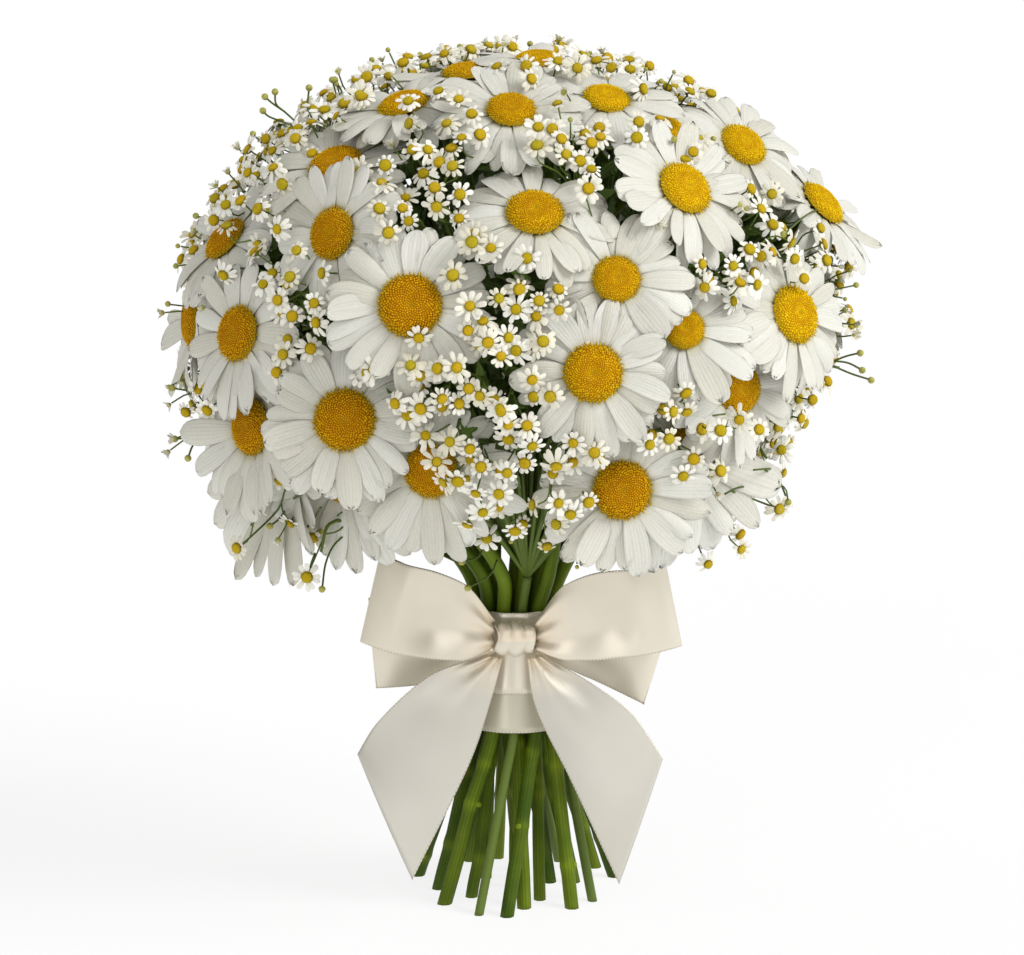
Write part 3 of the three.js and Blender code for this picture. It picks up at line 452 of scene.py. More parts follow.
disc_nodes = sorted(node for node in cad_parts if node.startswith("daisy_disc_"))
petal_nodes = sorted(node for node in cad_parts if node.startswith("petals_"))
blooms = [read_bloom(node) for node in disc_nodes]
hearts = np.array([bloom.place for bloom in blooms])
petal_points = {node: node_points(node) for node in petal_nodes}
nearness = np.array([
    [np.linalg.norm(petal_points[node] - heart, axis=-1).min() for node in petal_nodes]
    for heart in hearts
])
home = nearness.argmin(axis=1)
outwardness = dome_level(hearts)
print(len(blooms), "blooms, disc radii", round(min(b.disc for b in blooms), 1),
      "to", round(max(b.disc for b in blooms), 1), "mm")

# %% [markdown]
# ## Petals
# A daisy's petal is a thin strap with a blunt tip and two shallow grooves along it. It leaves
# the disc nearly flat and droops towards its end. One could model a single petal and copy it,
# but then all would bend alike. Here the petal is a formula of its length and its width, with
# a dozen small numbers drawn for each, so that no two are the same. The lowest daisies, which
# sit deep under the others, have longer petals that hang forwards out of the dome's lower edge.

# %% The petal's form
PETAL_STATIONS = np.array([0, 0.14, 0.3, 0.48, 0.66, 0.82, 0.92, 0.975, 1.0])
PETAL_TOP = np.array([-1, -0.95, -0.64, -0.32, 0, 0.32, 0.64, 0.95, 1])
PETAL_UNDER = np.array([0.55, 0, -0.55])
PETAL_LENGTH = 20.8
PETAL_HALF_WIDTH = 4.45
PETAL_THICKNESS = 0.24
GROOVE_DEPTH = 0.11
across_petal = np.concatenate([PETAL_TOP, PETAL_UNDER])
is_under = np.arange(len(across_petal)) >= len(PETAL_TOP)


def petal_width(along, blunt):
    """Half width as a share: from 0.48 at the root it swells by a sine to 1 at 0.64 of the
    length, and then closes by the superellipse (1 - t^n)^(1/n), with n the bluntness."""
    swell = 0.48 + 0.52 * np.sin(np.pi / 2 * np.clip(along / 0.64, 0, 1))
    close = (1 - np.clip((along - 0.64) / 0.36, 0, 1) ** blunt) ** (1 / blunt)
    return np.maximum(swell * close, 0.05)


def petal_rings(bloom, angles, draw, lengths, layer, others, raised):
    """Rings of the petals of one bloom. A point at share s of the length and v of the width is
    heart + out * r(s) + aside * (sway s^2 + w(s) v) + face * h(s, v), where h rises with s by
    the petal's lift, falls with s^2 by its droop, and carries the cup v^2 and the grooves
    cos(3 pi v), which notch its tip too. Near another bloom it passes over or under. A raised
    bloom holds its petals that much more forwards."""
    s = PETAL_STATIONS[:, None]
    v = across_petal
    count = len(angles)

    def each(low, high):
        """One draw for each petal, the same all over it."""
        return draw.uniform(low, high, count)[:, None, None]

    length = lengths[:, None, None]
    half = PETAL_HALF_WIDTH * each(0.76, 1.2) * np.sqrt(length / PETAL_LENGTH)
    lift, droop = each(-0.04, 0.2) + raised[:, None, None], each(0.04, 0.34)
    cup, sway, twist = each(-0.26, 0.12), each(-2.6, 2.6), each(-0.26, 0.26)
    curl = each(-0.4, 1.0) * (each(0, 1) < 0.35)
    notch = each(0, 0.045)
    width = petal_width(s, each(1.9, 3.1))
    wide = half * width * v
    rise = layer[:, None, None] + length * (lift * s - droop * s**2) - curl * length * 0.35 * s**4
    relief = cup * half * width * v**2 + GROOVE_DEPTH * np.cos(3 * np.pi * v) * np.sqrt(s)
    thick = PETAL_THICKNESS * np.where(is_under, -0.75, 0.25) * (1 - v**2) + 0 * s
    tilt = twist * s
    aside = wide * np.cos(tilt) - relief * np.sin(tilt) + sway * s**2
    height = rise + thick + relief * np.cos(tilt) + wide * np.sin(tilt)
    reach = bloom.disc * 0.84 + length * (s - notch * s**6 * np.cos(3 * np.pi * v))
    out = bloom.out(angles)[:, None, None]
    side = np.cross(bloom.face, out)
    points = bloom.place + out * reach[..., None] + side * aside[..., None]
    points = points + bloom.face * height[..., None]
    for other, above in others:
        off = points - other.place
        flat = np.linalg.norm(off - dot(off, other.face) * other.face, axis=-1, keepdims=True)
        near = smoothstep(1.25 - flat / (other.disc + PETAL_LENGTH))
        points = points + near * (other.face if above > 0 else bloom.face) * above
    points[..., 2] -= 0.05 * length * (s**2 + 0 * v)
    return points


# %% Growing every petal ring
PETALS_SEED = 5
NEIGHBOUR_REACH = 62
OVER, UNDER = 3.4, -2.6
LONGER_AND_RAISED = {
    "daisy_disc_04": (1.1, 0), "daisy_disc_14": (1.16, 0.3), "daisy_disc_15": (1.3, 0),
    "daisy_disc_25": (1.08, 0.3), "daisy_disc_26": (1.62, 0.65), "daisy_disc_27": (1.36, 0.3),
    "daisy_disc_28": (1.85, 0.1),
}
draw = np.random.default_rng(PETALS_SEED)
petal_skins = {node: Skin() for node in petal_nodes}
for index, bloom in enumerate(blooms):
    apart = np.linalg.norm(hearts - bloom.place, axis=-1)
    near = np.flatnonzero((apart > 0) & (apart < NEIGHBOUR_REACH))
    others = [(blooms[n], OVER if outwardness[index] > outwardness[n] else UNDER) for n in near]
    count = draw.integers(24, 29)
    steps = np.arange(count) + draw.uniform(-0.22, 0.22, count)
    angles = 2 * np.pi * steps / count + draw.uniform(0, 6)
    layer = np.where(np.arange(count) % 2, 0.1, -0.6) + draw.uniform(-0.2, 0.2, count)
    hang = smoothstep(0.6 - 0.8 * bloom.out(angles)[:, 2])
    longer, raised = LONGER_AND_RAISED.get(disc_nodes[index], (1, 0))
    lengths = PETAL_LENGTH * (1 + (longer - 1) * hang) * draw.uniform(0.84, 1.09, count)
    rings = petal_rings(bloom, angles, draw, lengths, layer, others, raised * hang)
    tone = draw.uniform(0, 1, count)[:, None, None]
    skin = petal_skins[petal_nodes[home[index]]]
    skin.add(rings, u=(across_petal + 1) / 2, v=PETAL_STATIONS[:, None], tone=tone)
print(sum(skin.count for skin in petal_skins.values()), "points of petals")

# %% [markdown]
# ## The petals' finish
# The petals are white, a little green where they leave the disc, with faint grey lines along
# their veins. They are soft and matt, and thin enough that light passes into them, which a
# little subsurface light gives, equal in red, green and blue so that the white stays neutral.
# The veins follow the petal, so they are drawn from its own UV.

# %% Petal paint
petal_paint = Paint("petal_white", Roughness=0.6, Subsurface_Weight=0.2, Subsurface_Scale=0.001)
petal_paint.surface.inputs["Subsurface Radius"].default_value = (1.0, 1.0, 1.0)
u, v = petal_paint.across_and_along()
veins = ((u * 44).sine() * 0.5 + 0.5) ** 3
fleck = petal_paint.noise(900, 3)
root = (1 - v * 5).held()
shadow = (veins * 0.14 + fleck * 0.42 + petal_paint.tone() * 0.5 - 0.22).held()
white = petal_paint.mix(shadow, colour(228, 227, 217), colour(190, 186, 163))
white = petal_paint.mix(root * 0.6, white, colour(176, 171, 108))
petal_paint.cover(white, veins * 0.7 + fleck * 0.3, 0.09)
for node in petal_nodes:
    name = node.replace("petals_", "daisy_petals_")
    put(name, petal_skins[node].mesh(name), petal_paint, [node])

# %% [markdown]
# ## Discs
# The golden disc is a low dome of some five hundred florets, set along spirals 137.5 degrees
# apart, as a real one grows. The florets at the rim have opened and stand taller; those at the
# middle are still tight buds in a slight dimple. So the dome is a plain skin, and each floret
# is a small closed bud that stands on it, square to its surface.

# %% The disc's dome and florets
DISC_RISE = 0.38
DISC_SPREAD = 0.97
DISC_SIDES = 24
DIMPLE = 0.1
FLORETS = 540
GOLDEN_ANGLE = np.pi * (3 - np.sqrt(5))


def dome_height(share):
    """Height over the back as a share of the radius: DISC_RISE (1 - share^3)^0.8, less a
    dimple exp(-(share / 0.25)^2) at the middle."""
    crown = DISC_RISE * np.clip(1 - share**3, 0, 1) ** 0.8
    return crown - DIMPLE * bell(share, 0, 0.25)


def disc_rings(bloom):
    """Rings of the plain dome from its back's rim to its middle."""
    share = np.array([0.9, 1.0, 0.98, 0.93, 0.86, 0.74, 0.58, 0.4, 0.22, 0.02])
    height = bloom.disc * dome_height(share)
    height[0] = 0
    ring = bloom.disc * DISC_SPREAD * share[:, None, None] * bloom.out(round_turn(DISC_SIDES))
    rings = bloom.place + ring + (DISC_GAP + height)[:, None, None] * bloom.face
    return rings[None], share[:, None]


def floret_rings(bloom, draw):
    """Floret i stands at share sqrt(i / count) of the radius and i golden angles round. Its
    rings are a foot, a shoulder and a tip along the dome's own normal."""
    order = np.arange(FLORETS) + 0.5
    share = np.sqrt(order / FLORETS)
    out = bloom.out(order * GOLDEN_ANGLE)
    slope = (dome_height(share + 0.01) - dome_height(np.abs(share - 0.01))) / 0.02
    normal = unit(bloom.face - np.clip(slope, -1.6, 0.6)[:, None] * out)
    jitter = 1 + 0.016 * draw.normal(size=FLORETS)
    place = bloom.place + (bloom.disc * DISC_SPREAD * share * jitter)[:, None] * out
    place = place + (DISC_GAP + bloom.disc * dome_height(share))[:, None] * bloom.face
    opened = smoothstep((share - 0.45) / 0.4)
    grow = bloom.disc / 12.4
    fringe = smoothstep((share - 0.86) / 0.12)
    tall = grow * (0.28 + 0.34 * opened + 0.7 * fringe) * draw.uniform(0.7, 1.3, FLORETS)
    wide = grow * (0.415 + 0.05 * opened - 0.14 * fringe) * draw.uniform(0.8, 1.2, FLORETS)
    astray = 0.3 * draw.normal(size=(FLORETS, 3)) * (0.3 + opened)[:, None]
    lean = unit(normal + astray + fringe[:, None] * out)
    first, second = square_to(normal, bloom.across + 0.01)
    circle = sweep(first[:, None], second[:, None], round_turn(4))
    rings = [
        (place + lean * (tall * up)[:, None])[:, None] + (wide * size)[:, None, None] * circle
        for up, size in [(-0.4, 0.9), (0.75, 1.0), (1.0, 0.35)]
    ]
    return np.stack(rings, axis=1), share[:, None, None]


# %% Growing every disc
DISCS_SEED = 11
draw = np.random.default_rng(DISCS_SEED)
disc_skins = {node: Skin() for node in petal_nodes}
for index, bloom in enumerate(blooms):
    skin = disc_skins[petal_nodes[home[index]]]
    # Painted light: a disc further right and higher up gets a brighter, yellower tone, as the key lamp
    # lights it from the upper right.
    off = bloom.place - DOME_MIDDLE
    ripeness_and_painted_light = 0.38 + 0.33 * off[0] / 110 + 0.3 * off[2] / 100
    tone = np.clip(ripeness_and_painted_light + draw.uniform(-0.08, 0.08), 0, 1) ** 2
    rings, share = disc_rings(bloom)
    skin.add(rings, u=share, v=0, tone=tone)
    rings, share = floret_rings(bloom, draw)
    height = np.array([0, 0.7, 1])[None, :, None]
    tones = np.clip(tone + draw.normal(0, 0.15, (FLORETS, 1, 1)), 0, 1)
    skin.add(rings, u=share, v=height, tone=tones)
print(len(blooms) * FLORETS, "florets")

# %% [markdown]
# ## The discs' finish
# Deep gold shows between the florets and golden yellow on their tips. The very middle is olive,
# a ring round it is a deeper orange, and the rim, where the florets meet the petals, is
# yellower. The colour is a function of two numbers that each floret carries: how far out it
# stands, and how high on it the point is. The discs high up and on the right are painted a
# brighter yellow, painted light for the key lamp on the upper right, which each disc's tone says.

# %% Disc paint
disc_paint = Paint("disc_gold", Roughness=0.8, Specular_IOR_Level=0.08)
out, height = disc_paint.across_and_along()
tone = disc_paint.tone()
tip = disc_paint.mix(tone, colour(216, 158, 12), colour(255, 230, 24))
deep = disc_paint.mix(tone, colour(162, 104, 2), colour(236, 182, 8))
gold = disc_paint.mix(height, deep, tip)
ring = (1 - (out - 0.4).size() * 5).held() * 0.35
middle = (1 - out * 6).held() * 0.6
rim = ((out - 0.8) * 5).held() * 0.6
gold = disc_paint.mix(ring, gold, disc_paint.mix(height, colour(164, 98, 2), colour(206, 142, 8)))
gold = disc_paint.mix(middle, gold, colour(166, 138, 18))
gold = disc_paint.mix(rim, gold, colour(182, 162, 34))
disc_paint.cover(gold, disc_paint.noise(2600), 0.1)
for node in petal_nodes:
    stands_for = [disc_nodes[i] for i in range(len(blooms)) if petal_nodes[home[i]] == node]
    name = node.replace("petals_", "daisy_discs_")
    put(name, disc_skins[node].mesh(name), disc_paint, stands_for)

# %% [markdown]
# ## The stems and how they pass the tie
# A florist lays each stem at a slant, so that the bundle spirals: it is tightest under the
# ribbon and splays above and below. Seen from above, every stem keeps its slot in rings round
# the middle one. Each slot's place at any height comes from the flare and the twist, the same
# rule that places the CAD stems, and its foot on the ground from a list, ring by ring.

# %% Slots
SLOT_RINGS = [1, 7, 13]
SLOT_PITCH = 6.2
WAIST = 104
FOOT_FLARE, HEAD_FLARE = 8.6, 18
TWIST = np.radians(24)
SLOT_LEVELS = np.array([70, 86, WAIST, 119, 134])
STEM_RADIUS = 2.8
FORK_RADIUS = 1.7
FEET = [
    (0, 0),
    (24, 6), (14, 6), (2, 24), (-12, 12), (-17.6, -14.9), (3.6, -30.3), (10, -18.8),
    (40.8, 14), (32.8, 27.4), (18, 36), (-7, 40.9), (-18.8, 37), (-26, 18), (-40, 15.9),
    (-31, -3.4), (-28.4, -24.5), (-14.4, -39.9), (-3.2, -41.8), (22.8, -30.3), (31.2, -20.7),
]


def flare_at(height):
    """sqrt(1 + flare * away^2), with away the distance from the waist as a share of it."""
    away = (height - WAIST) / WAIST
    return np.sqrt(1 + np.where(away < 0, FOOT_FLARE, HEAD_FLARE) * away**2)


def slot_knots(slot):
    """A slot is its ring, radius, angle and foot. Its knots go from the foot on the ground
    straight to its place at the first level, and on through its place at each level, which is
    its radius times the flare, at its angle plus the twist."""
    _, radius, angle, foot = slot
    turned = angle + TWIST * (SLOT_LEVELS - WAIST) / WAIST
    out = radius * flare_at(SLOT_LEVELS)
    above = AXIS + np.stack([out * np.cos(turned), out * np.sin(turned), SLOT_LEVELS], axis=-1)
    ground = AXIS + [*foot, 0]
    share = np.array([[0], [0.25], [0.5], [0.75]])
    return np.vstack([ground + share * (above[0] - ground), above])


slots = []
for ring, count in enumerate(SLOT_RINGS):
    radius = SLOT_PITCH / (2 * np.sin(np.pi / count)) if ring else 0
    for index in range(count):
        slots.append((ring, radius, 2 * np.pi * (index + 0.5 * ring) / count, FEET[len(slots)]))
spray_bearings = {"front": -np.pi / 2, "right": 0, "back": np.pi / 2, "left": np.pi}
spray_ways = np.array([[np.cos(b), np.sin(b), 0] for b in spray_bearings.values()])
spray_slots = {}
for name, bearing in spray_bearings.items():
    outer = [slot for slot in slots if slot[0] == 2]
    spray_slots[name] = max(outer, key=lambda slot: np.cos(slot[2] - bearing))
free_slots = [slot for slot in slots if slot not in spray_slots.values()]
print(len(free_slots), "slots for daisies and", len(spray_slots), "for chamomile")

# %% Which stem carries which bloom
CUP_FOOT = 7.75
NECK = 12
LEAN = 0.86
MAIN_STEPS, FORK_STEPS = 64, 16
FORK_STATIONS = [50, 54, 59]
FORK_KNEE = 0.55
OUTER_RING_GAIN, LATE_COST = 0.8, 2


def neck_places(bloom, start):
    """A stem's last stretch: it leans out from its start, and comes to the cup from behind."""
    behind = bloom.place - bloom.face * (CUP_FOOT + NECK)
    lean = (start + behind) / 2
    lean[:2] = AXIS[:2] + (lean[:2] - AXIS[:2]) * LEAN
    return [lean, behind, bloom.place - bloom.face * CUP_FOOT]


def apart_in_angle(one, other):
    """How far apart two bearings are, from 0 to half a turn."""
    return np.abs(np.angle(np.exp(1j * (one - other))))


by_height = np.argsort(hearts[:, 2], kind="stable")
share = np.arange(len(blooms) + 1) * len(free_slots) // len(blooms)
mains = by_height[share[:-1] != share[1:]]
main_knots = []
for index in mains:
    off = hearts[index] - AXIS
    bearing = np.arctan2(off[1], off[0])
    free_slots.sort(key=lambda slot: apart_in_angle(slot[2], bearing) - OUTER_RING_GAIN * slot[0])
    foot = slot_knots(free_slots.pop(0))
    main_knots.append(np.vstack([foot, neck_places(blooms[index], foot[-1])]))
main_knots = np.array(main_knots)
main_paths = smooth_path(main_knots, MAIN_STEPS)
fork_points = main_paths[:, FORK_STATIONS].reshape(-1, 3)
fork_knots = []
for index in np.setdiff1d(np.arange(len(blooms)), mains):
    _, behind, cup = neck_places(blooms[index], hearts[index])
    late = np.maximum(0, fork_points[:, 2] - behind[2] + NECK)
    cost = np.linalg.norm(fork_points - behind, axis=-1) + LATE_COST * late
    fork = fork_points[np.argmin(cost)]
    fork_knots.append([fork, fork + FORK_KNEE * (behind - fork), behind, cup])
fork_paths = smooth_path(np.array(fork_knots), FORK_STEPS)
print(len(main_paths), "main stems and", len(fork_paths), "forks")

# %% [markdown]
# ## The stems' skin
# The stalks are round with faint ribs and are cut off level at the foot. Where a leaf was
# stripped they swell into a knuckle with a pale scar, and a short stub may be left. The skin is
# a tube whose radius carries the knuckles as narrow bumps. The knuckles that the photograph
# shows are given by their pixels, and each goes to the foremost stem there.

# %% Knuckles
STEMS_SEED = 23
STEM_STEPS = 120
KNUCKLE_REACH = 9
SEEN_KNUCKLES = np.array([
    (485, 775), (511, 788), (532, 769), (525, 825), (486, 850), (566, 866), (582, 823), (466, 803),
    (422, 854),
])


def to_pixels(points):
    """Where the camera sees points: their way right and down from it, over their depth."""
    off = points - camera_place
    seen = np.stack([off @ camera_right, -(off @ camera_up)], axis=-1)
    return PICTURE / 2 + focal_pixels * seen / -(off @ to_camera)[..., None]


draw = np.random.default_rng(STEMS_SEED)
count = len(main_paths)
stem_paths = smooth_path(main_knots, STEM_STEPS)
height = stem_paths[..., 2]
knuckle = draw.uniform([[14, 48]], [[44, 66]], (count, 2))
stub_feet = []
for pixel in SEEN_KNUCKLES:
    off = np.linalg.norm(to_pixels(stem_paths) - pixel, axis=-1)
    cost = off + np.where(off < KNUCKLE_REACH, stem_paths[..., 1] / 10, 100)
    stem, station = np.unravel_index(cost.argmin(), cost.shape)
    knuckle[stem, 0] = height[stem, station]
    stub_feet.append(stem_paths[stem, station])
stub_feet = np.array(stub_feet)
print(knuckle.size, "knuckles,", len(stub_feet), "of them with a stub")

# %% Stems and forks
STEM_SIDES, FORK_SIDES, CUP_SIDES = 14, 8, 16
nudge = draw.normal(0, 0.35, (count, 2, 1, 3)) * [1, 1, 0]
bend = bell(height[:, None], knuckle[..., None], 13)
stem_paths = stem_paths + (bend[..., None] * nudge).sum(axis=1) * smoothstep(height / 20)[..., None]
swell = bell(height[:, None], knuckle[..., None], 2).sum(axis=1)
thick = draw.uniform(0.84, 1.04, (count, 1))
taper = 1 - 0.3 * smoothstep((height - 120) / 120)
radii = STEM_RADIUS * thick * taper * (1 + 0.13 * swell)
stem_skin = Skin()
rings = rings_along(stem_paths, radii, STEM_SIDES)
ribs = 1 + 0.035 * np.cos(np.pi * np.arange(STEM_SIDES))
rings = stem_paths[:, :, None] + (rings - stem_paths[:, :, None]) * ribs[:, None]


def cut_level(rings, paths):
    """The first ring of each stem slid along the stem's own way onto the ground."""
    way = (paths[:, 1] - paths[:, 0])[:, None]
    slide = rings[:, 0, :, 2:] / way[..., 2:]
    rings[:, 0] -= slide * way
    return rings


rings = cut_level(rings, stem_paths)
along = np.broadcast_to(height[..., None] / 100, rings.shape[:3])
tone = draw.uniform(0, 0.7, (count, 1, 1)) + 0.3 * np.clip(swell, 0, 1)[..., None]
stem_skin.add(rings, u=np.arange(STEM_SIDES) / STEM_SIDES, v=along, tone=tone)
fork_rings = rings_along(fork_paths, FORK_RADIUS, FORK_SIDES)
stem_skin.add(fork_rings, v=2.2, tone=draw.uniform(0, 1, (len(fork_paths), 1, 1)))
print(stem_skin.count, "points of stems and forks")

# %% Stubs at the knuckles
stub_way = unit(to_camera + [0, 0, 0.5] + 0.7 * draw.normal(size=stub_feet.shape))
stub_reach = np.array([0.5, 2.6, 3.5, 4.0, 4.1])
stub_paths = stub_feet[:, None] + stub_way[:, None] * stub_reach[:, None]
stub_radii = draw.uniform(1.1, 1.7, (len(stub_feet), 1)) * [1.2, 1.1, 1.0, 0.8, 0.3]
stem_skin.add(rings_along(stub_paths, stub_radii, FORK_SIDES), v=0.3, tone=0.85)
print(len(stub_paths), "stubs")

# %% A cup under each bloom
CUP_PROFILE = [
    (-CUP_FOOT - 1, 1.9), (-CUP_FOOT + 1, 3.0), (-4.6, 6.2), (-2.6, 8.6), (-1.5, 9.6), (-1.2, 7.0),
]
cup_angle = round_turn(CUP_SIDES)
scales = 1 + 0.06 * np.cos(8 * cup_angle)[:, None]
for bloom in blooms:
    cup = [
        bloom.place + up * bloom.face + wide * scales * bloom.out(cup_angle) for up, wide in CUP_PROFILE
    ]
    stem_skin.add(np.array(cup)[None], v=2.4, tone=0.3)
print(stem_skin.count, "points of stems, forks, stubs and cups")

# %% [markdown]
# ## The small flowers that the photograph shows
# The chamomile stands in clusters between the daisies and a little proud of them. Where the
# photograph shows it clearly, each flower is set one by one at the pixel of its yellow middle. The
# thin stalks that hang out past the petals, each with a bud at its end, are set the same way.

# %% Flowers, buds and stalks seen one by one
SEEN_FLOWERS = [
    (427, 61), (404, 66), (445, 57), (471, 53), (500, 46), (497, 70), (439, 94), (459, 102),
    (472, 116), (410, 126), (409, 104), (531, 82), (526, 69), (557, 106), (552, 131), (537, 148),
    (558, 65), (447, 125), (462, 140), (480, 136), (452, 150), (440, 164), (428, 152), (413, 151),
    (453, 168), (435, 189), (460, 196), (437, 208), (403, 209), (409, 222), (386, 167), (382, 184),
    (380, 210), (389, 234), (363, 100), (368, 80), (362, 173), (474, 236), (472, 243), (491, 249),
    (527, 259), (453, 276), (470, 307), (499, 299), (519, 290), (516, 310), (539, 302), (558, 290),
    (559, 311), (483, 322), (468, 331), (488, 343), (501, 357), (508, 338), (516, 351), (543, 342),
    (532, 380), (550, 397), (480, 396), (469, 389), (457, 368), (442, 399), (459, 404), (500, 409),
    (419, 338), (438, 369), (411, 366), (420, 376), (396, 404), (421, 409), (501, 412), (508, 425),
    (527, 426), (450, 442), (470, 449), (532, 446), (525, 463), (481, 467), (507, 473), (556, 466),
    (573, 443), (594, 453), (458, 481), (444, 482), (437, 462), (476, 493), (499, 494), (533, 505),
    (558, 503), (570, 514), (588, 502), (556, 524), (547, 546), (515, 530), (483, 512), (468, 524),
    (487, 538), (374, 370), (368, 373), (577, 71), (596, 64), (582, 58), (611, 71), (642, 92),
    (557, 66), (561, 141), (566, 156), (584, 136), (591, 145), (591, 171), (580, 162), (588, 190),
    (636, 140), (638, 124), (538, 129), (600, 139), (659, 121), (697, 141), (692, 154), (684, 161),
    (266, 139), (275, 170), (279, 231), (256, 253), (298, 252), (225, 276), (291, 278), (323, 274),
    (264, 285), (279, 301), (293, 317), (315, 304), (317, 323), (193, 290), (326, 113), (338, 119),
    (313, 126), (297, 141), (361, 98), (359, 173), (300, 132), (284, 186), (243, 203), (228, 207),
    (260, 211), (229, 228), (278, 373), (311, 349), (284, 355), (269, 471), (281, 481), (257, 506),
    (290, 523), (313, 537), (783, 473), (779, 509), (757, 491), (733, 509), (722, 525), (740, 534),
    (696, 542), (714, 542), (708, 564), (741, 549), (719, 431), (719, 471), (682, 476), (693, 459),
    (738, 420), (757, 430), (672, 412), (686, 412), (649, 445), (668, 439), (749, 191), (770, 196),
    (759, 211), (818, 230), (789, 244), (821, 246), (748, 251), (760, 257), (771, 253), (793, 260),
    (824, 262), (732, 267), (739, 284), (755, 286), (802, 280), (701, 265), (704, 288), (685, 393),
    (250, 175), (216, 222), (186, 412), (237, 548), (307, 577),
]
SEEN_BUDS = [
    (388, 50), (372, 60), (382, 60), (514, 41), (559, 39), (590, 53), (602, 52), (618, 65),
    (564, 95), (570, 122), (673, 142), (674, 72), (693, 85), (712, 141), (738, 207), (392, 78),
    (238, 148), (253, 134), (216, 186), (228, 172), (196, 216), (194, 231), (178, 246), (176, 266),
    (168, 304), (162, 313), (204, 309), (169, 387), (183, 383), (169, 405), (174, 439), (168, 452),
    (278, 540), (840, 280), (856, 285), (850, 270), (845, 299), (845, 310), (856, 325), (854, 335),
    (788, 503), (511, 541), (577, 567), (740, 361), (332, 80), (338, 72), (420, 55), (460, 47),
    (486, 42), (530, 44), (645, 72), (660, 84),
]
SEEN_STALKS = [
    [(300, 127), (285, 112), (276, 104), (275, 92)], [(294, 128), (280, 121), (268, 116), (263, 111)],
    [(285, 112), (272, 103), (265, 97)], [(313, 120), (309, 110), (308, 98), (309, 88)],
    [(341, 97), (340, 88), (335, 80)], [(202, 401), (196, 392), (184, 390), (172, 388)],
    [(202, 401), (194, 406), (188, 411)], [(196, 432), (185, 435), (175, 439)],
    [(199, 437), (192, 447), (188, 458)], [(347, 533), (334, 545), (326, 562), (322, 589)],
    [(315, 553), (311, 564), (308, 576)], [(287, 489), (276, 512), (256, 532), (238, 548)],
    [(303, 495), (290, 503), (279, 519), (270, 526)], [(309, 509), (300, 518), (291, 523)],
    [(322, 507), (312, 521), (303, 533)], [(343, 512), (333, 520), (322, 531)],
    [(834, 361), (847, 356), (860, 353)], [(834, 361), (848, 363), (862, 370)],
    [(833, 366), (852, 374), (871, 380)], [(752, 470), (768, 469), (782, 473)],
    [(763, 470), (780, 482), (788, 502)], [(730, 491), (755, 500), (779, 509)],
    [(723, 494), (735, 488), (757, 491)], [(692, 514), (702, 518), (714, 541)],
    [(686, 516), (690, 530), (696, 542)], [(820, 208), (800, 220), (782, 236)],
    [(497, 560), (490, 575), (468, 588)], [(484, 545), (478, 557), (462, 562)],
]

# %% [markdown]
# ## Clusters
# Behind those that are set one by one, more flowers stand a little deeper. On the side that the
# photograph shows, each cluster is given by its middle's pixel, how many flowers it has, one in
# four of them behind, and how wide it spreads. Round the back, clusters fill the gaps that a
# spiral of points over the dome finds between the blooms.

# %% Clusters
SEEN_CLUSTERS = [
    (282, 128, 5, 22), (318, 104, 6, 24), (300, 160, 5, 20), (352, 84, 3, 16), (392, 62, 6, 22),
    (428, 62, 3, 14), (440, 128, 6, 22), (432, 176, 8, 30), (452, 205, 5, 20), (412, 208, 4, 18),
    (400, 140, 4, 16), (488, 46, 5, 20), (512, 42, 3, 14), (572, 66, 5, 20), (594, 58, 3, 12),
    (648, 74, 4, 18), (655, 98, 3, 12), (560, 132, 7, 26), (584, 160, 5, 20), (588, 120, 4, 16),
    (496, 140, 2, 10), (372, 190, 3, 14), (524, 262, 3, 12), (492, 250, 3, 14), (504, 296, 7, 22),
    (478, 322, 7, 22), (532, 300, 6, 20), (512, 344, 6, 20), (546, 330, 3, 14), (432, 338, 3, 14),
    (424, 366, 6, 22), (402, 400, 5, 18), (442, 392, 5, 18), (478, 392, 7, 22), (512, 400, 5, 20),
    (500, 432, 7, 22), (452, 440, 8, 24), (478, 470, 8, 24), (518, 460, 7, 22), (452, 482, 4, 16),
    (500, 504, 6, 22), (516, 532, 5, 20), (544, 546, 3, 12), (556, 500, 3, 12), (574, 446, 6, 20),
    (586, 466, 5, 16), (576, 506, 6, 20), (560, 478, 4, 14), (650, 440, 4, 16), (676, 408, 5, 20),
    (684, 462, 5, 20), (706, 432, 6, 22), (720, 466, 6, 22), (700, 500, 5, 20), (722, 520, 7, 24),
    (756, 470, 4, 18), (768, 492, 4, 18), (782, 476, 2, 10), (700, 546, 5, 18), (740, 546, 4, 16),
    (690, 376, 3, 14), (706, 278, 5, 18), (734, 268, 6, 20), (758, 252, 6, 20), (790, 240, 6, 20),
    (730, 290, 4, 14), (768, 218, 4, 16), (820, 246, 5, 18), (838, 228, 3, 14), (846, 290, 4, 16),
    (850, 330, 3, 14), (740, 190, 2, 10), (744, 214, 3, 14), (660, 236, 2, 10), (604, 240, 2, 10),
    (256, 226, 6, 22), (282, 246, 6, 22), (262, 268, 6, 20), (294, 284, 6, 22), (272, 300, 5, 18),
    (308, 310, 6, 20), (286, 330, 5, 18), (292, 358, 4, 16), (318, 292, 3, 12), (226, 196, 5, 20),
    (246, 178, 6, 20), (264, 200, 4, 16), (206, 240, 4, 16), (214, 268, 5, 18), (188, 286, 4, 14),
    (200, 300, 3, 12), (174, 314, 3, 12), (180, 372, 3, 14), (182, 404, 5, 18), (196, 440, 4, 14),
    (180, 448, 3, 10), (208, 478, 3, 12), (280, 488, 5, 20), (296, 514, 7, 22), (322, 536, 5, 18),
    (346, 522, 4, 14), (268, 520, 4, 14), (240, 546, 4, 12), (314, 574, 3, 12), (376, 372, 4, 16),
    (360, 372, 3, 12), (300, 200, 3, 14), (306, 226, 3, 12), (604, 556, 2, 10), (566, 562, 2, 10),
    (440, 546, 3, 14), (470, 530, 3, 14), (390, 220, 3, 12), (632, 92, 2, 10), (862, 372, 2, 8),
]
ONE_BEHIND_IN = 4
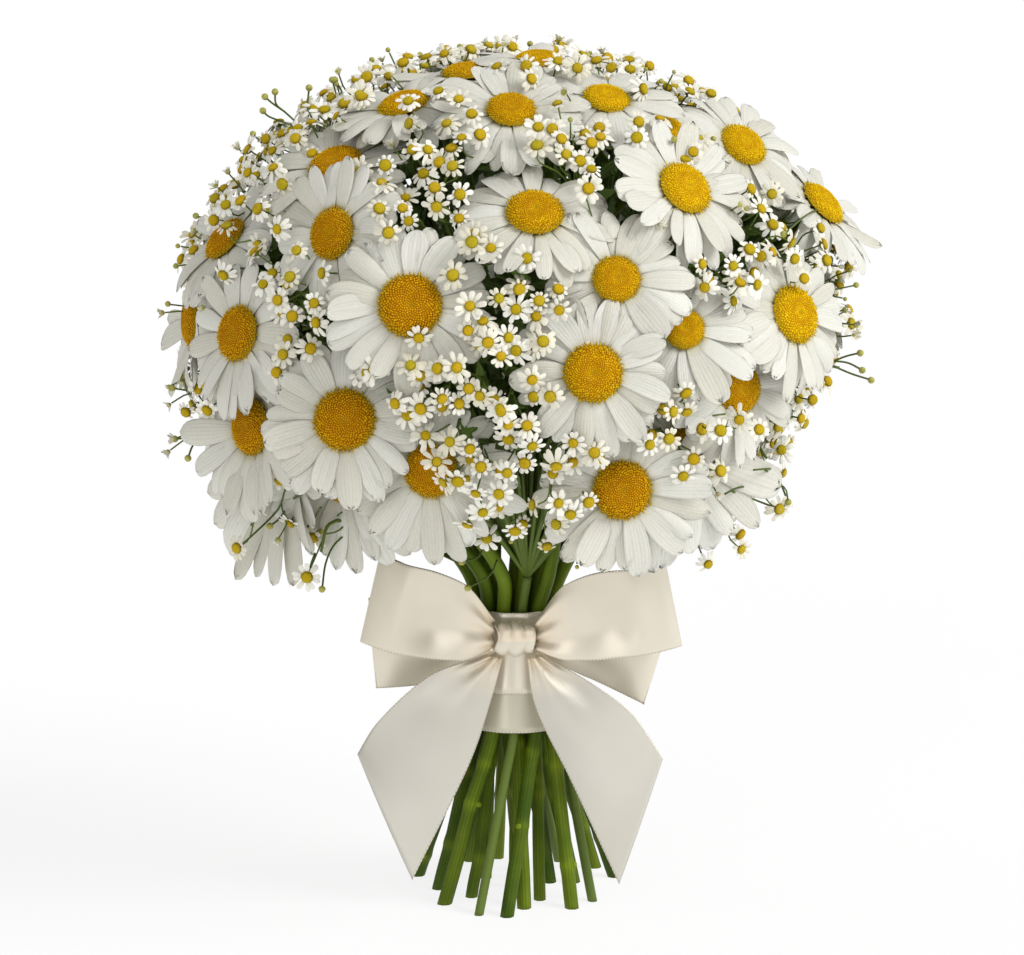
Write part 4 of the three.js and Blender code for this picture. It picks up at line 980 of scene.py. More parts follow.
SPREAD_SHARE = 1.1
SPIRAL_CHOICES = 420
BACK_LOWEST = 165
BACK_FACING = 0.26
CLEAR_OF_HEARTS, CLEAR_OF_SEEN = 21, 14
BACK_FLOWERS, BACK_SPREAD = 4, 11.0


def spiral_on_dome(count, lowest):
    """Points over the dome by golden angles: point i is 1 - 1.75 i / count up, on a sphere
    that is then pressed onto the dome. Those under the lowest height are left out."""
    order = np.arange(count) + 0.5
    rise = 1 - 1.75 * order / count
    level = np.sqrt(1 - rise**2)
    bearing = order * GOLDEN_ANGLE
    ways = np.stack([level * np.cos(bearing), level * np.sin(bearing), rise], axis=-1)
    points = to_dome(DOME_MIDDLE + ways * DOME["radius"])
    return points[points[:, 2] > lowest]


seen_pixels = np.array([(across, down) for across, down, _, _ in SEEN_CLUSTERS], dtype=float)
seen_sites = seen_on_dome(seen_pixels)
back_sites = spiral_on_dome(SPIRAL_CHOICES, BACK_LOWEST)
from_hearts = np.linalg.norm(back_sites[:, None] - hearts[None], axis=-1).min(axis=1)
from_seen = np.linalg.norm(back_sites[:, None] - seen_sites[None], axis=-1).min(axis=1)
hidden = dome_outward(back_sites) @ to_camera < BACK_FACING
back_sites = back_sites[hidden & (from_hearts > CLEAR_OF_HEARTS) & (from_seen > CLEAR_OF_SEEN)]
sites = np.vstack([seen_sites, back_sites])
flowers_wanted = [row[2] // ONE_BEHIND_IN for row in SEEN_CLUSTERS] + [BACK_FLOWERS] * len(back_sites)
spreads = [row[3] * MM_PER_PIXEL * SPREAD_SHARE for row in SEEN_CLUSTERS]
spreads += [BACK_SPREAD] * len(back_sites)
print(len(seen_sites), "clusters seen and", len(back_sites), "round the back")

# %% [markdown]
# ## Spacing the flowers
# The flowers that the photograph shows come first, each on its own sight line, brought towards
# the camera until it is as proud of the dome as the petals under it. Then the places in each
# cluster are drawn one by one. A place is kept if no other small flower is close and it isn't
# over a daisy's disc.

# %% Flowers and buds on their sight lines
CLUSTER_SEED = 41
LEAST_FACING, MOST_PROUD, PAST_DOME = 0.3, 14, 0.004
draw = np.random.default_rng(CLUSTER_SEED)


def on_sight_line(pixels, low, high):
    """The dome's place at each pixel, brought towards the camera by its proudness over the
    cosine between the way out and the camera; places past the dome's outline stay."""
    points = seen_on_dome(np.array(pixels, dtype=float))
    facing = np.maximum(dome_outward(points) @ to_camera, LEAST_FACING)
    proud = draw.uniform(low, high, len(points)) / facing
    proud = np.where(dome_level(points) > PAST_DOME, 0, np.minimum(proud, MOST_PROUD))
    return points + proud[:, None] * to_camera


def towards_viewer(points, share, spread):
    """The way out of the dome, turned part of the way to the camera and a little at random."""
    noise = spread * draw.normal(size=points.shape)
    return unit(dome_outward(points) + share * to_camera + noise)


def nearest_site(points):
    """The number of the site that lies nearest to each point."""
    return np.linalg.norm(points[:, None] - sites[None], axis=-1).argmin(axis=1)


seen_places = on_sight_line(SEEN_FLOWERS, 4.0, 9.0)
seen_faces = towards_viewer(seen_places, 0.75, 0.46)
print(len(seen_places), "small flowers set one by one")

# %% Choosing a place for each flower behind them
FLOWER_APART = 9.4
SEEN_PROUD, BACK_PROUD = (-4.0, 2.0), (0.0, 8.0)
CROWN_FROM, CROWN_FADE = 0.45, 0.35
HEM_RIGHT, HEM_FADE = 60, 30
FLOWER_CROWN_SINK, FLOWER_HEM_SINK = 5, 9
TRIES = 16
DISC_EDGE, DISC_DEPTH = 1.5, -4
outs = dome_outward(sites)
facing = smoothstep((outs @ to_camera + 0.65) / 0.6)
crown = smoothstep((outs[:, 2] - CROWN_FROM) / CROWN_FADE)
low = smoothstep((DOME["middle"] - sites[:, 2]) / HEM_FADE)
hem = low * smoothstep((sites[:, 0] - AXIS[0] - HEM_RIGHT) / HEM_FADE)
flower_places, flower_faces = list(seen_places), list(seen_faces)
flower_sites = list(nearest_site(seen_places))
disc_edges = np.array([bloom.disc for bloom in blooms]) + DISC_EDGE
for site, (middle, out, wanted, spread) in enumerate(zip(sites, outs, flowers_wanted, spreads)):
    side, rise = square_to(out)
    seen = site < len(seen_sites)
    kept = 0
    for _ in range(TRIES * wanted):
        if kept == wanted:
            break
        angle, reach = draw.uniform(0, 2 * np.pi), spread * np.sqrt(draw.uniform(0, 1))
        tangent = sweep(side, rise, angle)
        proud = draw.uniform(*(SEEN_PROUD if seen else BACK_PROUD)) - FLOWER_HEM_SINK * hem[site]
        proud = proud - FLOWER_CROWN_SINK * crown[site] * (not seen)
        place = to_dome(middle + reach * tangent, proud)
        if np.linalg.norm(np.array(flower_places) - place, axis=-1).min() < FLOWER_APART:
            continue
        off = place - hearts
        depth = np.array([off[i] @ bloom.face for i, bloom in enumerate(blooms)])
        flat = np.sqrt(np.maximum((off**2).sum(axis=-1) - depth**2, 0))
        if ((flat < disc_edges) & (depth > DISC_DEPTH)).any():
            continue
        lean = 0.35 * tangent * reach / spread + 0.36 * draw.normal(size=3) + 0.12 * UP
        flower_places.append(place)
        flower_faces.append(unit(out + lean + 0.8 * facing[site] * to_camera))
        flower_sites.append(site)
        kept += 1
flower_places, flower_faces = np.array(flower_places), np.array(flower_faces)
flower_sites = np.array(flower_sites)
print(len(flower_places), "small flowers in all")

# %% Choosing a place for each bud
BUDS_SEED = 43
BUD_PROUD = (2.0, 7.0)
BUD_CHANCE_SEEN, BUD_CHANCE_BACK = 0.15, 0.6
BUD_CROWN_SINK, BUD_HEM_SINK = 3, 7
BUD_APART = 6
draw = np.random.default_rng(BUDS_SEED)
bud_places = list(on_sight_line(SEEN_BUDS, 5.0, 9.0))
bud_faces = list(towards_viewer(np.array(bud_places), 0.2, 0.3))
bud_sites = list(nearest_site(np.array(bud_places)))
for site, (middle, out, spread) in enumerate(zip(sites, outs, spreads)):
    if draw.uniform() >= (BUD_CHANCE_SEEN if site < len(seen_sites) else BUD_CHANCE_BACK):
        continue
    angle, reach = draw.uniform(0, 2 * np.pi), spread * draw.uniform(0.5, 1.1)
    tangent = sweep(*square_to(out), angle)
    proud = draw.uniform(*BUD_PROUD) - BUD_CROWN_SINK * crown[site] - BUD_HEM_SINK * hem[site]
    place = to_dome(middle + reach * tangent, proud)
    if np.linalg.norm(flower_places - place, axis=-1).min() < BUD_APART:
        continue
    bud_places.append(place)
    bud_faces.append(unit(out + 0.5 * tangent + 0.3 * draw.normal(size=3)))
    bud_sites.append(site)
bud_places, bud_faces, bud_sites = np.array(bud_places), np.array(bud_faces), np.array(bud_sites)
print(len(bud_places), "buds")

# %% Stalks that hang out past the petals
HANGING_PROUD = (12.0, 12.5)
HANGING_RADIUS = 0.42
HANGING_BUD = 1.5
HANGING_STEPS = 14
hanging = np.array([
    smooth_path(on_sight_line(pixels, *HANGING_PROUD)[None], HANGING_STEPS)[0]
    for pixels in SEEN_STALKS
])
hanging_ends = hanging[:, -1]
hanging_faces = unit(hanging[:, -1] - hanging[:, -2])
hanging_spray = ((hanging_ends - AXIS) @ spray_ways.T).argmax(axis=1)
print(len(hanging), "stalks that hang out")

# %% [markdown]
# ## Chamomile stalks
# Every flower has a thread-like stalk that leaves its cluster's branch below the petals, and
# every branch leaves one of the four main stalks that pass through the tie. The branch is a
# smooth curve from the stalk's top to a hub under the cluster; the threads leave it one after
# another and bow outwards.

# %% Branches and threads
TRUNK_STEPS, BRANCH_STEPS, THREAD_STEPS = 60, 22, 9
TRUNK_RADIUS = 1.9
BRANCH_RADIUS = 0.8
BRANCH_TAPER = (1.25, 0.75)
THREAD_RADIUS = 0.34
THREAD_FEET = (0.66, 1.0)
HUB_DEPTH, TIP_DEPTH = 22, 9
STALKS_SEED = 47
draw = np.random.default_rng(STALKS_SEED)
spray_names = list(spray_bearings)
trunk_knots = np.array([slot_knots(spray_slots[name]) for name in spray_names])
trunks = smooth_path(trunk_knots, TRUNK_STEPS)
site_spray = ((sites - AXIS) @ spray_ways.T).argmax(axis=1)
hubs = sites - outs * draw.uniform(0.8, 1.1, (len(sites), 1)) * HUB_DEPTH
tops = trunks[site_spray, -1]
bow = tops + (hubs - tops) * 0.5 + 0.12 * np.abs(hubs - tops)[:, 2:] * UP
tips = sites - outs * TIP_DEPTH
branch_paths = smooth_path(np.stack([tops, bow, hubs, tips], axis=1), BRANCH_STEPS)


def thread_paths(places, faces, at_sites):
    """Each thread leaves its branch between two shares of its length, and comes to its flower
    from behind: foot, a knee partway, a point under the flower, the flower's back."""
    share = draw.uniform(*THREAD_FEET, len(places))
    step = (share * (branch_paths.shape[1] - 1)).astype(int)
    feet = branch_paths[at_sites, step]
    back = places - 1.2 * faces
    under = places - 6 * faces - 2.5 * outs[at_sites]
    rise = 0.12 * np.linalg.norm(under - feet, axis=-1, keepdims=True) * outs[at_sites]
    knee = feet + 0.45 * (under - feet) + rise
    return smooth_path(np.stack([feet, knee, under, back], axis=1), THREAD_STEPS)


flower_threads = thread_paths(flower_places, flower_faces, flower_sites)
bud_threads = thread_paths(bud_places, bud_faces, bud_sites)
print(len(branch_paths), "branches,", len(flower_threads) + len(bud_threads), "threads")

# %% [markdown]
# ## The small flowers
# A chamomile flower is a daisy in little: ten short round petals and a yellow cushion, greener
# while it is young. Hundreds are needed, so each petal is a bent lozenge of a few faces, and
# all flowers of a spray are made in one array operation.

# %% Small petals and cushions
SMALL_RADIUS = 5.7
SMALL_DISC = 2.25
SMALL_ROOT = SMALL_DISC * 0.8
SMALL_PETALS = 10
small_s = np.array([0.0, 0.4, 0.8, 1.0])
small_w = np.array([0.55, 0.92, 1.0, 0.42])


def frames_of(faces):
    """Two directions square to each face and to each other, also where a face looks up."""
    return square_to(faces, np.where(np.abs(faces[:, 2:]) > 0.9, [1.0, 0, 0], UP))


def small_petal_rings(places, faces, draw, sizes=(0.68, 1.14), lifts=(-0.3, 0.5), open_by=1.0):
    """Petal k points out at k / count of a turn. At share s of its length it is w(s) wide and
    rises by its own lift s less its droop s^2; four points go round: left, top, right, under.
    A bud about to open holds them up: its lift is large, and it is open by a small share."""
    count = len(places)
    petals = (count, SMALL_PETALS)
    first, second = frames_of(faces)
    size = draw.uniform(*sizes, count)
    steps = np.arange(SMALL_PETALS) + draw.uniform(-0.28, 0.28, petals)
    turn = 2 * np.pi * steps / SMALL_PETALS + draw.uniform(0, 6, (count, 1))
    out = sweep(first[:, None], second[:, None], turn)
    side = np.cross(faces[:, None], out)
    lift = draw.uniform(*lifts, (count, 1)) + draw.uniform(-0.3, 0.3, petals)
    length = (SMALL_RADIUS - SMALL_ROOT) * size[:, None] * draw.uniform(0.78, 1.1, petals)
    length = length * np.where(draw.uniform(0, 1, petals) < 0.07, 0.4, 1)
    reach = (SMALL_ROOT * size)[:, None, None] + open_by * length[..., None] * small_s
    height = length[..., None] * (lift[..., None] * small_s - 0.35 * small_s**2)
    half = (1.02 * size)[:, None, None] * draw.uniform(0.8, 1.1, (*petals, 1)) * small_w
    corner_side = np.array([-1, 0, 1, 0])
    corner_up = np.array([0, 0.16, 0, -0.08])
    points = places[:, None, None] + out[:, :, None] * reach[..., None]
    points = points + faces[:, None, None] * height[..., None]
    points = points[..., None, :] + side[:, :, None, None] * (half[..., None] * corner_side)[..., None]
    points = points + faces[:, None, None, None] * corner_up[:, None]
    return points.reshape(-1, len(small_s), 4, 3)


def cushion_rings(places, faces, radius, profile, sides):
    """Rings round each face: the profile gives (height, radius) as shares of the radius."""
    first, second = frames_of(faces)
    circle = sweep(first[:, None], second[:, None], round_turn(sides))
    radius = np.broadcast_to(radius, len(places))[:, None, None]
    rings = [places[:, None] + radius * (up * faces[:, None] + wide * circle) for up, wide in profile]
    return np.stack(rings, axis=1)


CUSHION = [(-0.3, 0.8), (0.05, 1.02), (0.4, 0.92), (0.6, 0.58), (0.56, 0.08)]
CALYX = [(-0.75, 0.16), (-0.55, 0.5), (-0.2, 0.92), (-0.05, 0.7)]
BUD = [(-0.9, 0.25), (-0.5, 0.8), (0.1, 1.0), (0.7, 0.72), (1.0, 0.2)]

# %% Growing the chamomile
SMALL_SEED = 53
draw = np.random.default_rng(SMALL_SEED)
chamomile = {name: {part: Skin() for part in ("petals", "middles", "stalks")} for name in spray_names}
for index, name in enumerate(spray_names):
    petals, middles, stalks = chamomile[name].values()
    mine = site_spray[flower_sites] == index
    places, faces = flower_places[mine], flower_faces[mine]
    young = draw.uniform(0, 1, mine.sum())
    tone = np.repeat(young, SMALL_PETALS)[:, None, None]
    petals.add(small_petal_rings(places, faces, draw), v=small_s[:, None], tone=tone)
    radius = SMALL_DISC * draw.uniform(0.85, 1.1, mine.sum())
    height = np.array([up for up, _ in CUSHION])[:, None]
    tone = young[:, None, None]
    middles.add(cushion_rings(places, faces, radius, CUSHION, 10), v=height, tone=tone)
    stalks.add(cushion_rings(places, faces, radius, CALYX, 7), v=0.3, tone=0.6)
    stalks.add(rings_along(flower_threads[mine], THREAD_RADIUS, 5), v=0.1, tone=tone)
    mine_buds = site_spray[bud_sites] == index
    places, faces = bud_places[mine_buds], bud_faces[mine_buds]
    radius = draw.uniform(0.9, 1.4, mine_buds.sum())
    stalks.add(cushion_rings(places, faces, radius, BUD, 7), v=0.9, tone=0.9)
    opening = draw.uniform(0, 1, mine_buds.sum()) < 0.6
    rings = small_petal_rings(places[opening], faces[opening], draw, (0.45, 0.68), (0.7, 1.4), 0.55)
    petals.add(rings, v=small_s[:, None], tone=0.7)
    mine_hanging = hanging_spray == index
    places, faces = hanging_ends[mine_hanging], hanging_faces[mine_hanging]
    stalks.add(cushion_rings(places, faces, HANGING_BUD, BUD, 7), v=0.8, tone=0.7)
    stalks.add(rings_along(hanging[mine_hanging], HANGING_RADIUS, 5), v=0.1, tone=0.2)
    stalks.add(rings_along(bud_threads[mine_buds], THREAD_RADIUS, 5), v=0.1, tone=0.3)
    radii = BRANCH_RADIUS * np.linspace(*BRANCH_TAPER, branch_paths.shape[1])
    stalks.add(rings_along(branch_paths[site_spray == index], radii, 6), v=0.05, tone=0.4)
    trunk = trunks[index:index + 1]
    trunk = cut_level(rings_along(trunk, TRUNK_RADIUS, 10), trunk)
    stalks.add(trunk, v=0.0, tone=0.5)

# %% [markdown]
# ## Leaves
# Between the flowers the photograph shows deep green, lobed leaves, and behind them the dark
# inside of the bunch. Each leaf is a thin closed blade whose half width is a sine along its
# length, cut by the lobes. They are drawn in a shell under the flowers, denser in the gaps.

# %% Leaf form and places
LEAVES_SEED = 59
LEAF_LENGTH = (16, 28)
LEAF_HALF_WIDTH = 4.2
LEAF_DEPTH = (18, 46)
LEAVES_LOWEST, TIPS_LOWEST = 160, 158
leaf_s = np.linspace(0, 1, 12)
leaf_v = np.array([-1, -0.5, 0, 0.5, 1, 0])
leaf_up = np.array([0, 0.25, 0.05, 0.25, 0, -0.35])


def leaf_rings(roots, ways, normals, lengths, draw):
    """Half width W sin(pi s)^0.8 (0.5 + 0.5 |cos(4 pi s)|), folded up along the midrib and
    arched by its droop s^2."""
    side = unit(np.cross(normals, ways))
    normals = np.cross(ways, side)
    lobes = np.sin(np.pi * leaf_s) ** 0.8 * (0.5 + 0.5 * np.abs(np.cos(4 * np.pi * leaf_s)))
    half = LEAF_HALF_WIDTH * draw.uniform(0.7, 1.15, len(roots))[:, None] * np.maximum(lobes, 0.04)
    fold = draw.uniform(0.1, 0.5, len(roots))[:, None, None]
    arch = draw.uniform(-0.1, 0.35, len(roots))[:, None] * leaf_s**2 * lengths[:, None]
    along = (lengths[:, None] * leaf_s)[..., None]
    spine = roots[:, None] + ways[:, None] * along - normals[:, None] * arch[..., None]
    up = leaf_up + fold * half[..., None] * np.abs(leaf_v)
    points = spine[:, :, None] + side[:, None, None] * (half[..., None] * leaf_v)[..., None]
    return points + normals[:, None, None] * up[..., None]


draw = np.random.default_rng(LEAVES_SEED)
leaf_sites = np.vstack([np.repeat(sites, 3, axis=0), spiral_on_dome(SPIRAL_CHOICES, LEAVES_LOWEST)])
leaf_outs = dome_outward(leaf_sites)
jitter = draw.normal(size=leaf_sites.shape)
depth = draw.uniform(*LEAF_DEPTH, (len(leaf_sites), 1))
roots = leaf_sites - leaf_outs * depth + 5 * jitter
ways = unit(leaf_outs + 0.75 * draw.normal(size=leaf_sites.shape) + 0.2 * UP)
lengths = np.minimum(draw.uniform(*LEAF_LENGTH, len(roots)), depth[:, 0] + 2)
tips = roots + ways * lengths[:, None]
inside = (dome_level(tips) < -0.05) & (dome_level(roots) < -0.08)
inside = inside & (np.minimum(roots, tips)[:, 2] > TIPS_LOWEST)
roots, ways, lengths, leaf_outs = roots[inside], ways[inside], lengths[inside], leaf_outs[inside]
leaf_skin = Skin()
normals = unit(draw.normal(size=roots.shape) + 0.8 * leaf_outs)
leaf_skin.add(
    leaf_rings(roots, ways, normals, lengths, draw),
    u=(leaf_v + 1) / 2, v=leaf_s[:, None], tone=draw.uniform(0, 1, (len(roots), 1, 1)),
)
print(len(roots), "leaves")

# %% [markdown]
# ## Green finishes
# Three greens: the smooth olive stems, streaked along their length and lighter at each cut and
# knuckle; the darker, thinner chamomile stalks with pale green buds; and the deep leaves with a
# lighter midrib. All use noise over the object, so no two stems match. The stems carry painted
# shade, darker from 160 mm up inside the dome, and painted light, a lighter green just above
# the tie, where the dome's shade falls on them.

# %% Stems and leaves
stem_paint = Paint("stem_green", Roughness=0.46, Specular_IOR_Level=0.14)
u, v = stem_paint.across_and_along()
streak = (u * 88).sine() * 0.5 + 0.5
blotch = stem_paint.noise(60, 4)
tone = stem_paint.tone()
ripeness_and_painted_light = (tone + blotch * 0.8 - 0.4).held()
green = stem_paint.mix(ripeness_and_painted_light, colour(55, 79, 5), colour(130, 148, 28))
# Painted shade: besides the streaks, the stems darken from 160 mm up, inside the dome, and the forks and
# cups are darker still.
streak_and_painted_shade = (streak * 0.4 + (v - 1.6).held() * 0.9).held() * 0.8
green = stem_paint.mix(streak_and_painted_shade, green, colour(34, 52, 6))
# Painted light: a lighter green from about 110 to 160 mm, just above the tie, where the dome's shade
# falls.
painted_light_above_tie = (1 - (v - 1.34).size() * 4).held()
green = stem_paint.mix(painted_light_above_tie * 0.5, green, colour(132, 156, 44))
stem_paint.cover(green, streak * 0.5 + stem_paint.noise(700, 3) * 0.8, 0.12)
put("stems", stem_skin.mesh("stems"), stem_paint, ["daisy_stems"])

leaf_paint = Paint("leaf_green", Roughness=0.5, Specular_IOR_Level=0.3)
u, v = leaf_paint.across_and_along()
rib = (1 - (u - 0.5).size() * 14).held()
green = leaf_paint.mix(leaf_paint.tone(), colour(42, 62, 20), colour(116, 144, 58))
green = leaf_paint.mix(rib * 0.5, green, colour(130, 150, 78))
leaf_paint.cover(green, rib + leaf_paint.noise(500, 3), 0.2)
put("leaves", leaf_skin.mesh("leaves"), leaf_paint, ["daisy_stems"])

# %% Stalk paint
stalk_paint = Paint("stalk_green", Roughness=0.55, Specular_IOR_Level=0.3)
_, v = stalk_paint.across_and_along()
green = stalk_paint.mix(stalk_paint.tone(), colour(66, 86, 26), colour(112, 130, 50))
bud = stalk_paint.mix(stalk_paint.noise(500), colour(126, 134, 44), colour(206, 196, 110))
green = stalk_paint.mix((v * 2 - 0.6).held(), green, bud)
stalk_paint.cover(green, stalk_paint.noise(900), 0.1)

# %% Paints of the small flowers
small_petal_paint = Paint("small_petal_white", Roughness=0.6, Specular_IOR_Level=0.3)
_, v = small_petal_paint.across_and_along()
white = small_petal_paint.mix(small_petal_paint.tone(), colour(244, 242, 232), colour(226, 221, 200))
white = small_petal_paint.mix((1 - v * 2.5).held() * 0.5, white, colour(206, 202, 130))
small_petal_paint.cover(white, small_petal_paint.noise(1500), 0.1)

middle_paint = Paint("small_middle_yellow", Roughness=0.7, Specular_IOR_Level=0.15)
_, v = middle_paint.across_and_along()
ripeness_and_painted_light = middle_paint.mix(middle_paint.tone(), colour(192, 168, 20), colour(218, 172, 20))
grain = middle_paint.noise(2200)
ripeness_and_painted_light = middle_paint.mix((middle_paint.tone() * 2 - 1.1).held() * 0.8, ripeness_and_painted_light, colour(176, 172, 40))
ripeness_and_painted_light = middle_paint.mix((v * 2.4 + grain * 1.6 - 1.2).held(), colour(128, 108, 10), ripeness_and_painted_light)
middle_paint.cover(ripeness_and_painted_light, grain, 0.5)

# %% The sprays of chamomile
small_paints = {"petals": small_petal_paint, "middles": middle_paint, "stalks": stalk_paint}
for name in spray_names:
    for part, skin in chamomile[name].items():
        piece_name = f"chamomile_{part}_{name}"
        mesh = skin.mesh(piece_name, smooth=part != "petals")
        put(piece_name, mesh, small_paints[part], [f"chamomile_{name}"])

# %% [markdown]
# ## The ribbon
# The ribbon is satin, 38 mm wide and cut in lengths: two wraps round the waist, one long piece
# that makes the bow's loops and tails, and a short one pleated round the middle as the knot.
# Each piece is a sheet: a grid of points along and across the ribbon, given its thickness by
# Solidify. A simulation could drape it, but a bow keeps the shape that a hand has pulled it
# into, so the folds are set here as formulas.

# %% A ribbon sheet
RIBBON_WIDTH = 38
RIBBON_THICKNESS = 0.5


def sheet_mesh(name, grid, closed=False):
    """A grid (along, across, 3) as quads, with UV along and across; closed joins its ends."""
    along, across = grid.shape[:2]
    index = np.arange(along * across).reshape(along, across)
    after = np.roll(index, -1, axis=0)[: along if closed else along - 1]
    before = index[: len(after)]
    corners = [before[:, :-1], after[:, :-1], after[:, 1:], before[:, 1:]]
    quads = np.stack(corners, axis=-1).reshape(-1, 4)
    mesh = bpy.data.meshes.new(name)
    mesh.from_pydata((grid * METRES).reshape(-1, 3).tolist(), [], quads.tolist())
    steps = np.linalg.norm(np.diff(grid[:, across // 2], axis=0), axis=-1)
    distance = np.concatenate([[0], np.cumsum(steps)]) / RIBBON_WIDTH
    places = np.meshgrid(distance, np.linspace(0, 1, across), indexing="ij")
    uv = np.stack(places, axis=-1).reshape(-1, 2)
    layer = mesh.uv_layers.new(name="surface")
    layer.uv.foreach_set("vector", uv[quads.reshape(-1)].reshape(-1))
    mesh.polygons.foreach_set("use_smooth", np.ones(len(quads), dtype=bool))
    mesh.update()
    return mesh


def flat_length(grid):
    """The length in metres of a 38 mm ribbon with the sheet's area, which is the sum of two
    triangles in each cell of the grid."""
    one = np.cross(grid[1:, :-1] - grid[:-1, :-1], grid[:-1, 1:] - grid[:-1, :-1])
    other = np.cross(grid[1:, :-1] - grid[1:, 1:], grid[:-1, 1:] - grid[1:, 1:])
    area = 0.5 * (np.linalg.norm(one, axis=-1).sum() + np.linalg.norm(other, axis=-1).sum())
    return area / RIBBON_WIDTH * METRES


def put_ribbon(name, grid, paint, nodes, closed=False):
    """A ribbon sheet in place: thickness, finish, and what it was cut to."""
    piece = put(name, sheet_mesh(name, grid, closed), paint, nodes)
    wall = piece.modifiers.new("thickness", "SOLIDIFY")
    wall.thickness = RIBBON_THICKNESS * METRES
    wall.offset = 0
    flat_length(grid)
    print(name, "is", round(flat_length(grid) / METRES), "mm of ribbon")


# %% [markdown]
# ## The satin's finish
# Satin shines softly because its threads float along the ribbon. So it is smooth with a faint
# grain across, a share of it mirrors like metal, and a woven edge runs along each side. The
# colour is a warm ivory, with painted light where a piece starts, which on the loops and the
# tails is at the knot: it is painted warmer and lighter there, against the shade of the pleats.
# The tails get a cooler, greyer copy of the satin, painted sheen and shade for how the light
# falls on them, and the wraps a greener one, where the stems show through. So one recipe makes
# three paints.

# %% Satin paint
def satin(name, light, shade, roughness, mirror):
    """Ivory between two colours by soft noise, with painted light, lighter and warmer, at the start, and a
    stitched edge.
    """
    paint = Paint(name, Roughness=roughness, Metallic=mirror, Specular_IOR_Level=0.7)
    along, across = paint.across_and_along()
    grain = (across * 900).sine() * 0.5 + 0.5
    edge = (((across - 0.5).size() - 0.478) * 70).held()
    stitch = ((along * 190).sine() * 0.5 + 0.5) * edge
    ivory = paint.mix((paint.noise(25) * 1.4 - 0.3).held(), light, shade)
    # Painted light: the start of each piece, at the knot on the loops and tails, is painted lighter and
    # warmer, against the pleats' shade.
    ivory = paint.mix((1 - along * 2).held() * 0.7, ivory, colour(252, 234, 206))
    seam = paint.mix(stitch, colour(188, 174, 144), colour(242, 238, 228))
    ivory = paint.mix(edge * 0.6, ivory, seam)
    paint.cover(ivory, grain * 0.15 + edge * 1.2 + stitch * 1.6, 0.08)
    return paint


loop_paint = satin("ivory_satin", colour(233, 226, 209), colour(220, 210, 190), 0.32, 0.5)
# The tails' copy is cooler and greyer than the loops': painted sheen and shade for how the light falls on
# them.
tail_painted_sheen_paint = satin("satin_painted_sheen", colour(212, 208, 197), colour(201, 197, 184), 0.36, 0.4)
wrap_paint = satin("thin_satin", colour(207, 202, 182), colour(194, 190, 165), 0.36, 0.3)

# %% The two wraps
WRAPS = {"lower": (70, 104, 0.9, 0.15), "upper": (85.5, 119, 2.0, 0.25)}
WRAP_SIDES, WRAP_ROWS = 96, 15
OUTER_SLOT = SLOT_PITCH / (2 * np.sin(np.pi / SLOT_RINGS[2]))


def bundle_radius(height):
    """The outer slots' radius times the flare, plus a stem."""
    return OUTER_SLOT * flare_at(height) + STEM_RADIUS


def wrap_grid(low, high, proud, wave):
    """Round the waist: the radius follows the bundle, with a slight wave of the stems under
    the ribbon; it runs right round, and its two ends meet behind."""
    angle = round_turn(WRAP_SIDES)[:, None]
    height = np.linspace(low, high, WRAP_ROWS)
    out = bundle_radius(height) + proud + wave * np.cos(SLOT_RINGS[2] * angle)
    height = np.broadcast_to(height, out.shape)
    return AXIS + np.stack([out * np.sin(angle), out * np.cos(angle), height], axis=-1)


lower, upper = (wrap_grid(*WRAPS[name]) for name in ("lower", "upper"))
put_ribbon("ribbon_wrap_lower", lower, wrap_paint, ["ribbon_wrap"], True)
put_ribbon("ribbon_wrap_upper", upper, loop_paint, ["ribbon_wrap"], True)

# %% [markdown]
# ## The bow
# Each side has two loops, and each loop runs out from the knot in front, folds, and comes back
# behind. The stations below are the ribbon's middle and its half width as it goes, close to the
# CAD solids' own. Near the knot the ribbon is gathered, so pleats are added there that fade out
# along the loop, and the front swells a little.

# %% The loops
LOOPS = {
    "upper_left": [
        ((8.4, -23, 110.8), (0, 6)), ((20, -29.5, 117.2), (-0.5, 15.8)), ((33, -32, 121), (-1.5, 18.6)),
        ((46, -30.5, 123.4), (-3, 18.4)), ((57.4, -24, 126.5), (-4.2, 18)), ((40, -18, 119.6), (-2.5, 16)),
        ((21, -21.5, 113.2), (0, 10.5)), ((8.6, -21, 110), (0, 5)),
    ],
    "lower_left": [
        ((8.4, -22.4, 108), (0, 4.6)), ((30, -17.5, 103.5), (0.5, 14.5)), ((57, -13, 105), (1, 18.6)),
        ((33, -10, 103.5), (0.5, 14)), ((9.4, -20.6, 108), (0, 4.6)),
    ],
    "upper_right": [
        ((8.4, -23, 110.8), (0, 6)), ((20, -29.5, 117.2), (-0.4, 15.6)), ((34, -32, 120.6), (-1.2, 18.6)),
        ((50, -30.5, 122), (-2.4, 17.8)), ((63, -24, 123.4), (-3.4, 16.6)), ((44, -18, 118.6), (-2, 15.5)),
        ((22, -21.5, 113), (0, 10.5)), ((8.6, -21, 110), (0, 5)),
    ],
    "lower_right": [
        ((8.4, -22.4, 108), (0, 4.6)), ((30, -17.5, 104.5), (2, 13)), ((57, -13, 98.2), (5, 18.6)),
        ((33, -10, 103), (2, 13)), ((9.4, -20.6, 108), (0, 4.6)),
    ],
}
LOOP_STEPS, ACROSS_STEPS = 84, 33
PLEATS, PLEAT_DEPTH = 2.6, 1.0
SWELLS = {
    "upper_left": (4.2, 0.29, 0.14), "lower_left": (2.5, 0.25, 0.1),
    "upper_right": (4.4, 0.34, 0.15), "lower_right": (2.5, 0.25, 0.1),
}
LOOP_VALLEY, LOOP_LEAN = 1.8, 4.5
PHASES = {"upper": 0.6, "lower": 2.0}
SIDES = {"left": -1, "right": 1}


